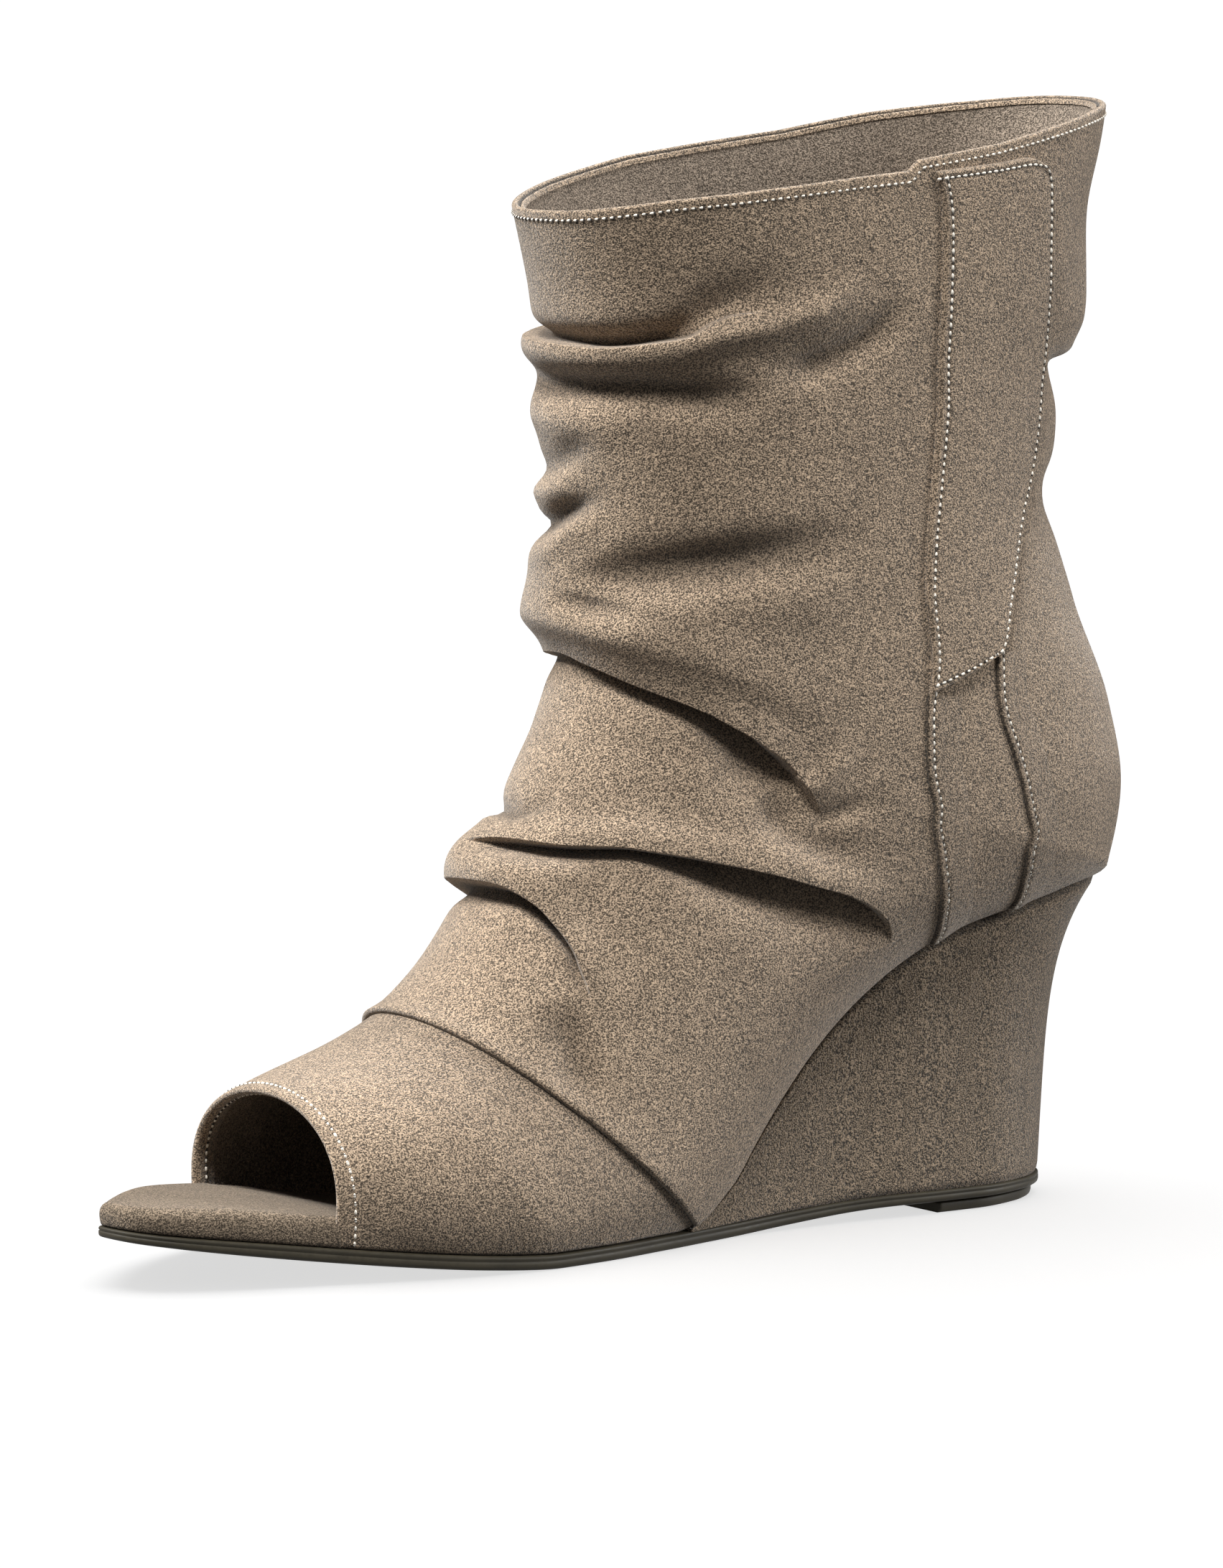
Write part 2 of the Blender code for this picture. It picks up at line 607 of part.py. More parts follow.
def seated(points):
    """Points lifted where they would sink below the feather line."""
    lifted = points.copy()
    lifted[..., 2] = np.maximum(points[..., 2], feather_height(points[..., 0]) + FOOT_GAP)
    return lifted


def upper_stations():
    toe = np.linspace(0.0, SEAM_STATION, TOE_STATION_COUNT)
    heel = np.linspace(SEAM_STATION, CLOSED_STATION, HEEL_STATION_COUNT)
    shaft = np.linspace(CLOSED_STATION, 1.0, SHAFT_STATION_COUNT)[1:]
    stations = np.concatenate((toe, heel, shaft))
    raised = np.concatenate((np.zeros(len(toe)), np.ones(len(heel) + len(shaft))))
    return stations, raised * SEAM_STEP


def make_upper(material):
    """Hollow upper, open at the collar, the toe and underneath."""
    stations, raised = upper_stations()
    around = np.linspace(-1.0, 1.0, 2 * AROUND_COUNT + 1)
    count = len(around)
    station_grid = np.repeat(stations, count)
    around_grid = np.tile(around, len(stations))
    points = folded_skin(station_grid, around_grid)
    normal = grid_normals(points.reshape(len(stations), count, 3), stations)
    points = points.reshape(len(stations), count, 3)
    outer = seated(points + normal * raised[:, None, None])
    inner = seated(points - normal * WALL_THICKNESS)
    size = len(stations) * count
    faces = []
    closed = int(np.argmin(np.abs(stations - CLOSED_STATION)))
    for k in range(len(stations) - 1):
        for j in range(count - 1):
            a = k * count + j
            faces.append((a, a + 1, a + count + 1, a + count))
            faces.append((size + a, size + a + count, size + a + count + 1, size + a + 1))
        if k < closed:
            for j in (0, count - 1):
                a = k * count + j
                faces.append((a, a + count, size + a + count, size + a))
    for k in (0, len(stations) - 1):
        for j in range(count - 1):
            a = k * count + j
            faces.append((a, a + 1, size + a + 1, size + a))
    everything = np.concatenate((outer.reshape(-1, 3), inner.reshape(-1, 3)))
    return make_object("upper", everything, faces, material)


def faceted_skin(station, around):
    """Points on the flat facets of the upper's outer face, and outward directions there."""
    stations = np.unique(upper_stations()[0])
    places = np.linspace(-1.0, 1.0, 2 * AROUND_COUNT + 1)
    low_station = np.clip(np.searchsorted(stations, station, side="right") - 1, 0, len(stations) - 2)
    low_place = np.clip(np.searchsorted(places, around, side="right") - 1, 0, len(places) - 2)
    part = (station - stations[low_station]) / (stations[low_station + 1] - stations[low_station])
    turn = (around - places[low_place]) / (places[low_place + 1] - places[low_place])
    total = np.zeros((len(station), 3))
    for up in (0, 1):
        for side in (0, 1):
            corner = folded_skin(stations[low_station + up], places[low_place + side])
            weight = (part if up else 1.0 - part) * (turn if side else 1.0 - turn)
            total += corner * weight[:, None]
    return total, bare_normals(folded_skin, station, around)


def make_flap(material):
    """Overlay on the inner side of the shaft, lying just off the upper's face."""
    down = np.linspace(0.0, 1.0, FLAP_ROWS)
    table_down = column(FLAP, FLAP_TABLE_COLUMNS, "down")
    front_place = eased(table_down, column(FLAP, FLAP_TABLE_COLUMNS, "front"), down)
    back_place = eased(table_down, column(FLAP, FLAP_TABLE_COLUMNS, "back"), down)
    front_station = FLAP_TOP_STATION + down * (FLAP_FRONT_END_STATION - FLAP_TOP_STATION)
    back_station = FLAP_TOP_STATION + down * (FLAP_BACK_END_STATION - FLAP_TOP_STATION)
    across = np.linspace(0.0, 1.0, FLAP_COLUMNS)[None, :]
    around = front_place[:, None] * (1.0 - across) + back_place[:, None] * across
    station = front_station[:, None] * (1.0 - across) + back_station[:, None] * across
    corner = smooth_step(FLAP_CORNER_START, 1.0, across) * (1.0 - down[:, None])
    station = station - FLAP_CORNER_DROP * corner
    points, normal = faceted_skin(station.ravel(), around.ravel())
    low = points + normal * (SEAM_STEP + PIECE_GAP)
    high = low + normal * FLAP_THICKNESS
    size = FLAP_ROWS * FLAP_COLUMNS
    faces = []
    for k in range(FLAP_ROWS - 1):
        for j in range(FLAP_COLUMNS - 1):
            a = k * FLAP_COLUMNS + j
            ring = (a, a + 1, a + FLAP_COLUMNS + 1, a + FLAP_COLUMNS)
            faces.append(ring)
            faces.append(tuple(size + corner for corner in reversed(ring)))
        for a in (k * FLAP_COLUMNS, k * FLAP_COLUMNS + FLAP_COLUMNS - 1):
            faces.append((a, a + FLAP_COLUMNS, size + a + FLAP_COLUMNS, size + a))
    for j in range(FLAP_COLUMNS - 1):
        for a in (j, size - FLAP_COLUMNS + j):
            faces.append((a, a + 1, size + a + 1, size + a))
    return make_object("side_flap", np.concatenate((low, high)), faces, material)


def grid_normals(points, stations):
    """Outward directions on a grid of stations by places around, seam rows counted once."""
    keep = np.concatenate(([True], np.diff(stations) > 1e-9))
    single = points[keep]
    along = np.gradient(single, axis=0)
    closed = np.abs(single[:, 0, :] - single[:, -1, :]).max(axis=1) < 1e-6
    across = np.gradient(single, axis=1)
    for k in np.nonzero(closed)[0]:
        turn = single[k, 1, :] - single[k, -2, :]
        across[k, 0, :] = turn
        across[k, -1, :] = turn
        lift = (along[k, 0, :] + along[k, -1, :]) / 2.0
        along[k, 0, :] = lift
        along[k, -1, :] = lift
    normal = np.cross(along, across)
    normal /= np.maximum(np.linalg.norm(normal, axis=2), 1e-12)[:, :, None]
    source = np.cumsum(keep) - 1
    return normal[source]


def build():
    for item in list(bpy.data.objects):
        bpy.data.objects.remove(item, do_unlink=True)
    suede = make_material("suede", (0.235, 0.185, 0.135), 0.95)
    rubber = make_material("rubber", (0.045, 0.040, 0.026), 0.45)
    make_outsole(rubber)
    make_heel_lift(rubber)
    make_wedge(suede)
    make_insole(suede)
    make_upper(suede)
    make_flap(suede)


build()
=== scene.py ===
# Looks of the peep toe ankle boot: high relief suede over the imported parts.
import json
import math

import bmesh
import bpy
import numpy as np
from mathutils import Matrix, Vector
from mathutils.bvhtree import BVHTree

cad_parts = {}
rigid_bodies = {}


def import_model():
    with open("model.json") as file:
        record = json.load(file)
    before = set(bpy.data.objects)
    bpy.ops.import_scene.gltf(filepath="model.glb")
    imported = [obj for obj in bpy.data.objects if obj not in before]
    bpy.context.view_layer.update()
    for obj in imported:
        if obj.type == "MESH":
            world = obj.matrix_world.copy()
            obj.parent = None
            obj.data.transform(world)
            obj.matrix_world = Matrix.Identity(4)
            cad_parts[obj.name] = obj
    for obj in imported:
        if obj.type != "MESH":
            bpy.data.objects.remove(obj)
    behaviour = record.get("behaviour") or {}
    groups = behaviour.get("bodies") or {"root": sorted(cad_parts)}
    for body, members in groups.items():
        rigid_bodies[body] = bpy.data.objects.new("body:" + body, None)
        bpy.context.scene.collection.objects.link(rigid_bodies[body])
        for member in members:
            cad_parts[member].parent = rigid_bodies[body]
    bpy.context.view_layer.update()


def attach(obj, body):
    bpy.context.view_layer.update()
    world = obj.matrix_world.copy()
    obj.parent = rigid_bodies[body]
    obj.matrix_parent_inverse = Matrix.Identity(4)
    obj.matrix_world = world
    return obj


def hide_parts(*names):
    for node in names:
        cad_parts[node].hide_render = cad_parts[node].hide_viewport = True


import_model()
print("frame loaded")

# sizes of the last in metres, shares of the sole's length, stations up the upper from the toe's edge
soleLength = 0.236
ballWidth = 0.080
heelSeatHeight = 0.069
collarHeight = 0.236
originShare = 0.90
toeSpring = 0.0103
springShare = 0.38
springPower = 1.35
waistLift = 0.0025
waistStart = 0.57
waistEnd = 0.80
heelFlare = 0.017
upperMargin = 0.0008
footGap = 0.0005
pieceGap = 0.0003
narrowHalfWidth = 0.012
seamStation = 0.210
closedStation = 0.455
toeLean = 0.0020
seamStep = 0.0009
wallThickness = 0.0013

# share of sole length, inner edge and outer edge as shares of ball width
outline = (
    (0.0, 0.062, 0.062), (0.009, 0.172, 0.018), (0.03, 0.232, -0.058), (0.069, 0.288, -0.165),
    (0.12, 0.338, -0.265), (0.172, 0.38, -0.338), (0.237, 0.432, -0.408), (0.3, 0.47, -0.465),
    (0.36, 0.482, -0.503), (0.43, 0.456, -0.512), (0.517, 0.39, -0.48), (0.6, 0.322, -0.42),
    (0.67, 0.292, -0.382), (0.733, 0.284, -0.35), (0.82, 0.296, -0.325), (0.884, 0.292, -0.305),
    (0.94, 0.245, -0.255), (0.978, 0.16, -0.168), (1.0, 0.0, 0.0),
)

# share of sole length, share of heel seat height
feather = (
    (0.5, 0.036), (0.542, 0.048), (0.572, 0.092), (0.602, 0.168), (0.627, 0.275), (0.655, 0.39),
    (0.685, 0.505), (0.717, 0.61), (0.75, 0.7), (0.79, 0.79), (0.83, 0.855), (0.87, 0.898),
    (0.91, 0.928), (0.96, 0.96), (1.0, 0.985), (1.08, 1.01),
)

# station, front length, front height, back length, back height, half width, widest, roundness
sections = (
    (0.0, 0.174, 0.157, 0.174, None, 0.362, 0.3, 2.1),
    (0.05, 0.217, 0.17, 0.262, None, 0.455, 0.26, 2.1),
    (0.105, 0.26, 0.184, 0.385, None, 0.512, 0.22, 2.1),
    (0.16, 0.288, 0.196, 0.47, None, 0.5, 0.25, 2.1), (0.21, 0.314, 0.21, 0.55, None, 0.478, 0.3, 2.1),
    (0.26, 0.362, 0.247, 0.668, None, 0.445, 0.36, 2.1),
    (0.31, 0.402, 0.302, 0.79, None, 0.432, 0.41, 2.1),
    (0.365, 0.433, 0.362, 0.91, None, 0.44, 0.46, 2.1), (0.42, 0.464, 0.42, 1.03, None, 0.452, 0.5, 2.1),
    (0.455, 0.484, 0.456, 1.068, 0.3, 0.46, 0.52, 2.1),
    (0.51, 0.5, 0.505, 1.082, 0.372, 0.465, 0.53, 2.1),
    (0.57, 0.5, 0.556, 1.066, 0.448, 0.462, 0.52, 2.1),
    (0.65, 0.492, 0.62, 1.024, 0.545, 0.455, 0.51, 2.1),
    (0.735, 0.494, 0.69, 0.998, 0.635, 0.452, 0.5, 2.1),
    (0.82, 0.49, 0.765, 1.005, 0.735, 0.458, 0.5, 2.1),
    (0.91, 0.484, 0.835, 1.036, 0.865, 0.468, 0.5, 2.2), (1.0, 0.468, 0.905, 1.052, 1.0, 0.475, 0.5, 2.3),
)

# fold, peak, width above, width below, fade in, fade out, then its line as places around and stations
folds = (
    ("collar roll", 0.0022, 0.0028, 0.0038, 0.25, 0.4,
     ((0.13, 0.846), (0.197, 0.86), (0.25, 0.871), (0.289, 0.876), (0.328, 0.884), (0.368, 0.893),
      (0.398, 0.905), (0.43, 0.92))),
    ("over the roll", -0.0016, 0.0048, 0.0036, 0.35, 0.45,
     ((0.15, 0.878), (0.201, 0.891), (0.24, 0.903), (0.278, 0.913), (0.325, 0.93))),
    ("under collar roll", -0.0034, 0.003, 0.0042, 0.35, 0.32,
     ((-0.2, 0.815), (-0.092, 0.814), (-0.034, 0.81), (0.028, 0.811), (0.108, 0.813), (0.173, 0.811),
      (0.226, 0.81), (0.269, 0.812), (0.3, 0.818))),
    ("second collar trough", -0.0026, 0.0032, 0.0038, 0.3, 0.45,
     ((0.285, 0.829), (0.331, 0.838), (0.364, 0.844), (0.396, 0.852), (0.429, 0.862), (0.454, 0.873),
      (0.474, 0.886), (0.49, 0.9))),
    ("shin swell", 0.0019, 0.006, 0.005, 0.35, 0.35,
     ((-0.42, 0.775), (-0.25, 0.785), (-0.1, 0.783), (0.04, 0.775), (0.14, 0.765))),
    ("shin trough", -0.0014, 0.003, 0.0026, 0.3, 0.4,
     ((-0.35, 0.715), (-0.2, 0.722), (-0.042, 0.728), (0.003, 0.738), (0.042, 0.75), (0.08, 0.763))),
    ("shin ridge", 0.0014, 0.0024, 0.0024, 0.3, 0.4,
     ((-0.35, 0.69), (-0.18, 0.7), (-0.05, 0.7), (0.01, 0.712), (0.06, 0.726))),
    ("shin tuck", -0.003, 0.002, 0.003, 0.3, 0.45,
     ((-0.4, 0.655), (-0.2, 0.662), (-0.055, 0.667), (0.004, 0.681), (0.053, 0.693), (0.095, 0.704))),
    ("shin shoulder", 0.0016, 0.003, 0.003, 0.35, 0.45,
     ((-0.25, 0.63), (-0.031, 0.636), (0.009, 0.653), (0.055, 0.674), (0.095, 0.69))),
    ("middle trough", -0.0046, 0.0042, 0.0062, 0.35, 0.5,
     ((-0.01, 0.598), (0.04, 0.609), (0.1, 0.622), (0.16, 0.634), (0.22, 0.646), (0.3, 0.663),
      (0.38, 0.68), (0.46, 0.697))),
    ("middle swell", 0.0016, 0.006, 0.007, 0.3, 0.4,
     ((-0.15, 0.61), (0.05, 0.618), (0.2, 0.612), (0.34, 0.622), (0.44, 0.64))),
    ("small dent", -0.002, 0.0018, 0.003, 0.4, 0.55,
     ((-0.01, 0.592), (0.03, 0.587), (0.065, 0.582), (0.1, 0.578), (0.15, 0.573))),
    ("ankle roll", 0.0056, 0.011, 0.0052, 0.25, 0.5,
     ((-0.55, 0.54), (-0.35, 0.562), (-0.12, 0.567), (0.0, 0.563), (0.1, 0.552), (0.2, 0.538),
      (0.3, 0.52), (0.4, 0.5))),
    ("ankle valley", -0.002, 0.0045, 0.0036, 0.45, 0.45,
     ((0.3, 0.44), (0.33, 0.425), (0.36, 0.411), (0.418, 0.4), (0.484, 0.393), (0.547, 0.39),
      (0.616, 0.386))),
    ("fork ridge", 0.001, 0.0026, 0.0026, 0.4, 0.45,
     ((0.325, 0.425), (0.345, 0.448), (0.363, 0.474), (0.39, 0.5))),
    ("fork dent", -0.0014, 0.0026, 0.0024, 0.4, 0.45,
     ((0.366, 0.422), (0.406, 0.421), (0.43, 0.436), (0.455, 0.455))),
    ("front roll", 0.0048, 0.007, 0.0066, 0.25, 0.45,
     ((-0.45, 0.328), (-0.25, 0.342), (-0.05, 0.342), (0.06, 0.342), (0.16, 0.336), (0.24, 0.325))),
    ("vamp hollow", -0.0024, 0.0045, 0.0055, 0.35, 0.45,
     ((0.3, 0.262), (0.37, 0.245), (0.46, 0.23), (0.56, 0.214))),
    ("back hollow", -0.0018, 0.011, 0.011, 0.35, 0.35,
     ((0.74, 0.94), (0.86, 0.938), (1.0, 0.94), (1.14, 0.944), (1.28, 0.95))),
    ("back overhang", 0.0018, 0.008, 0.005, 0.3, 0.3,
     ((0.76, 0.878), (0.86, 0.872), (1.0, 0.874), (1.15, 0.883), (1.28, 0.896))),
    ("back trough", -0.0026, 0.0055, 0.007, 0.3, 0.35,
     ((0.78, 0.75), (0.88, 0.746), (1.0, 0.748), (1.15, 0.756), (1.3, 0.77))),
    ("outer ankle roll", 0.003, 0.008, 0.004, 0.35, 0.35,
     ((-0.95, 0.6), (-0.78, 0.625), (-0.6, 0.66), (-0.45, 0.68), (-0.3, 0.676))),
    ("outer ankle tuck", -0.0034, 0.0022, 0.007, 0.35, 0.35,
     ((-0.95, 0.57), (-0.78, 0.595), (-0.6, 0.632), (-0.45, 0.652), (-0.3, 0.652))),
    ("outer shaft tuck", -0.003, 0.0022, 0.007, 0.35, 0.35,
     ((-0.98, 0.8), (-0.84, 0.78), (-0.66, 0.768), (-0.5, 0.775))),
    ("outer shaft roll", 0.0022, 0.007, 0.0036, 0.35, 0.35,
     ((-0.98, 0.826), (-0.84, 0.806), (-0.66, 0.794), (-0.5, 0.8))),
    ("outer counter trough", -0.002, 0.006, 0.007, 0.35, 0.35,
     ((-0.94, 0.48), (-0.76, 0.47), (-0.58, 0.44), (-0.42, 0.42))),
)
# folds whose cloth hangs over a pocket: name, side that hangs over (1 above), crown width, crown setback,
# hang, softness, then its line as places around, stations, crown heights, pocket depths and pocket widths,
# the last three in millimetres
lips = (
    ("collar lip", -1.0, 0.0036, 0.0018, 0.001, 0.00035,
     ((-0.5, 0.885, 0.0, 0.0, 4.0), (-0.3, 0.872, 2.4, 3.5, 3.2), (-0.12, 0.86, 2.8, 4.2, 3.0),
      (0.0, 0.855, 2.8, 5.0, 3.2), (0.066, 0.852, 2.6, 5.4, 3.4), (0.107, 0.854, 2.4, 5.4, 3.4),
      (0.146, 0.859, 2.2, 5.0, 3.8), (0.174, 0.863, 2.0, 4.2, 4.4), (0.196, 0.868, 1.6, 3.0, 5.0),
      (0.214, 0.878, 1.2, 1.6, 5.0), (0.245, 0.888, 0.6, 0.8, 6.0), (0.3, 0.893, 0.0, 0.0, 6.0))),
    ("ankle lip", 1.0, 0.004, 0.0012, 0.002, 0.00035,
     ((-0.62, 0.495, 0.0, 0.0, 4.0), (-0.42, 0.513, 0.2, 2.6, 4.0), (-0.2, 0.524, 0.2, 2.6, 4.0),
      (-0.02, 0.526, 0.2, 2.8, 4.0), (0.046, 0.521, 0.9, 4.0, 3.8), (0.112, 0.51, 1.4, 4.6, 3.6),
      (0.185, 0.498, 1.5, 5.4, 4.8), (0.214, 0.491, 1.5, 6.0, 6.5), (0.245, 0.483, 1.3, 6.0, 9.0),
      (0.267, 0.475, 1.0, 5.8, 10.0), (0.29, 0.467, 0.5, 5.2, 10.5), (0.318, 0.455, 0.1, 4.0, 10.5),
      (0.363, 0.439, 0.0, 2.2, 10.0), (0.404, 0.424, 0.0, 0.0, 8.0))),
    ("instep lip", 1.0, 0.004, 0.0012, 0.0018, 0.00035,
     ((-0.07, 0.35, 0.0, 0.0, 4.0), (-0.02, 0.354, 0.1, 1.8, 4.6), (0.03, 0.359, 0.8, 4.4, 4.8),
      (0.083, 0.362, 1.4, 5.0, 4.6), (0.13, 0.365, 1.8, 4.8, 3.6), (0.216, 0.371, 1.8, 4.4, 2.6),
      (0.262, 0.371, 1.8, 4.8, 3.4), (0.308, 0.371, 1.8, 5.4, 5.0), (0.359, 0.37, 1.8, 6.0, 7.0),
      (0.411, 0.369, 1.8, 6.0, 8.5), (0.469, 0.367, 1.7, 6.0, 9.5), (0.534, 0.363, 1.5, 6.0, 10.0),
      (0.604, 0.359, 1.2, 5.2, 9.5), (0.689, 0.35, 0.8, 3.8, 8.5), (0.77, 0.338, 0.3, 1.8, 8.0),
      (0.85, 0.323, 0.0, 0.0, 7.0))),
    ("front lip", -1.0, 0.0036, 0.002, 0.0002, 0.002,
     ((-0.62, 0.35, 0.0, 0.0, 3.0), (-0.45, 0.365, 0.1, 2.6, 3.6), (-0.25, 0.376, 0.1, 3.0, 3.6),
      (-0.1, 0.377, 0.1, 3.0, 3.6), (0.004, 0.375, 0.1, 2.2, 3.4), (0.036, 0.38, 0.1, 1.4, 3.0),
      (0.079, 0.398, 0.0, 0.0, 3.0))),
    ("vamp lip", 1.0, 0.0036, 0.0012, 0.0014, 0.00035,
     ((-0.6, 0.285, 0.0, 0.0, 3.0), (-0.35, 0.307, 1.4, 3.0, 3.4), (-0.15, 0.321, 1.6, 4.0, 4.0),
      (-0.036, 0.324, 1.8, 4.4, 4.0), (0.037, 0.325, 1.8, 4.8, 3.8), (0.073, 0.324, 1.8, 4.8, 3.4),
      (0.109, 0.32, 1.8, 4.2, 2.8), (0.147, 0.314, 1.7, 4.0, 2.6), (0.183, 0.306, 1.6, 3.6, 2.2),
      (0.221, 0.298, 1.4, 3.0, 2.0), (0.257, 0.29, 1.2, 2.4, 2.0), (0.296, 0.28, 0.9, 1.6, 2.2),
      (0.331, 0.272, 0.5, 0.8, 2.4), (0.38, 0.26, 0.0, 0.0, 3.0))),
    ("back lip", 1.0, 0.005, 0.0034, 0.0012, 0.003,
     ((0.77, 0.852, 0.0, 0.0, 6.0), (0.84, 0.847, 0.5, 3.0, 7.0), (0.92, 0.845, 0.7, 4.6, 8.0),
      (1.0, 0.848, 0.7, 4.8, 8.0), (1.08, 0.852, 0.5, 4.2, 8.0), (1.18, 0.861, 0.3, 2.6, 7.0),
      (1.28, 0.872, 0.0, 0.0, 6.0))),
)


def guideLine(lip, leftOut, others):
    # a lip's line round the shaft, without the places left out and with other nodes
    nodes = [node[:2] for row in lips if row[0] == lip for node in row[-1] if node[0] not in leftOut]
    return sorted(nodes + list(others))


# rows of the shaft follow these lines, so that the lips are crisp: place around, station
guides = (
    guideLine("vamp lip", (0.38,),
              ((-1.0, 0.262), (-0.8, 0.272), (0.38, 0.262), (0.6, 0.258), (1.0, 0.262))),
    guideLine("instep lip", (0.262, 0.359, 0.85),
              ((-1.0, 0.325), (-0.8, 0.336), (-0.6, 0.346), (-0.35, 0.35), (0.85, 0.326), (1.0, 0.325))),
    ((-1.0, 0.455), (-0.7, 0.45), (-0.4, 0.44), (-0.1, 0.44), (0.1, 0.435), (0.25, 0.42),
     (0.4, 0.397), (0.55, 0.405), (0.75, 0.43), (0.9, 0.45), (1.0, 0.455)),
    guideLine("ankle lip", (0.404,),
              ((-1.0, 0.52), (-0.8, 0.5), (0.404, 0.425), (0.55, 0.44), (0.75, 0.49), (1.0, 0.52))),
    guideLine("collar lip", (),
              ((-1.0, 0.864), (-0.92, 0.868), (-0.82, 0.876), (-0.72, 0.882),
               (0.45, 0.89), (0.62, 0.878), (0.77, 0.868), (0.92, 0.861), (1.0, 0.864))),
)
# place around, lift of the collar's edge in metres
rimLift = (
    (-1.0, 0.0), (-0.86, 0.0002), (-0.72, 0.0012), (-0.6, 0.001), (-0.48, 0.002), (-0.37, 0.0028),
    (-0.22, 0.0022), (-0.07, 0.0011), (0.06, 0.001), (0.18, 0.0012), (0.32, 0.0), (0.415, -0.0009),
    (0.488, -0.0019), (0.499, 0.0), (0.62, -0.0006), (0.8, 0.0), (1.0, 0.0),
)
# the overlay lies straight over these
underOverlay = ("back overhang", "back hollow", "back lip", "back trough")


def eased(nodes, values, position):
    nodes = np.asarray(nodes, float)
    values = np.asarray(values, float)
    step = np.diff(nodes)
    slope = np.diff(values) / step
    tangent = np.zeros(len(nodes))
    tangent[0] = slope[0]
    tangent[-1] = slope[-1]
    for i in range(1, len(nodes) - 1):
        if slope[i - 1] * slope[i] > 0.0:
            near = 2.0 * step[i] + step[i - 1]
            far = step[i] + 2.0 * step[i - 1]
            tangent[i] = (near + far) / (near / slope[i - 1] + far / slope[i])
    place = np.clip(np.asarray(position, float), nodes[0], nodes[-1])
    index = np.clip(np.searchsorted(nodes, place, side="right") - 1, 0, len(step) - 1)
    width = step[index]
    share = (place - nodes[index]) / width
    low = values[index] * (1.0 + 2.0 * share) * (1.0 - share) ** 2
    high = values[index + 1] * share ** 2 * (3.0 - 2.0 * share)
    start = tangent[index] * width * share * (1.0 - share) ** 2
    end = tangent[index + 1] * width * share ** 2 * (share - 1.0)
    return low + high + start + end


def smoothStep(low, high, position):
    share = np.clip((np.asarray(position, float) - low) / (high - low), 0.0, 1.0)
    return share * share * (3.0 - 2.0 * share)


def turnAngle(share):
    return np.arccos(np.clip(1.0 - 2.0 * np.asarray(share, float), -1.0, 1.0))


def turnShares(first, last, count):
    return (1.0 - np.cos(np.linspace(turnAngle(first), turnAngle(last), count))) / 2.0


def treadBottom(along):
    share = along / soleLength
    spring = toeSpring * np.clip(1.0 - share / springShare, 0.0, 1.0) ** springPower
    return spring + waistLift * smoothStep(waistStart, waistEnd, share)


def treadTop(along):
    shares = (0.0, 0.15, waistStart, waistEnd, 1.0)
    thick = eased(shares, (0.0022, 0.0030, 0.0030, 0.0025, 0.0025), along / soleLength)
    return treadBottom(along) + thick


def featherHeight(along):
    table = np.array(feather)
    raised = eased(table[:, 0], table[:, 1], along / soleLength) * heelSeatHeight
    return np.maximum(raised, treadTop(along))


def seatShift(share):
    return heelFlare * smoothStep(0.80, 1.0, share)


def planEdges(share, margin, lean=0.0):
    table = np.array(outline)
    angles = turnAngle(table[:, 0])
    inner = eased(angles, table[:, 1], turnAngle(share)) * ballWidth
    outer = eased(angles, table[:, 2], turnAngle(share)) * ballWidth
    margin = np.broadcast_to(margin, np.shape(share))
    along = margin[0] + share * (soleLength - margin[0] - margin[-1]) + lean * seatShift(share)
    middle = (inner + outer) / 2.0
    half = (inner - outer) / 2.0
    half = half - margin * np.minimum(1.0, half / narrowHalfWidth)
    return along, middle + half, middle - half


def footLine(along):
    place, inner, outer = planEdges(turnShares(0.0, 1.0, 400), upperMargin, 1.0)
    innerSide = np.interp(along, place, inner)
    outerSide = np.interp(along, place, outer)
    return (innerSide + outerSide) / 2.0, (innerSide - outerSide) / 2.0


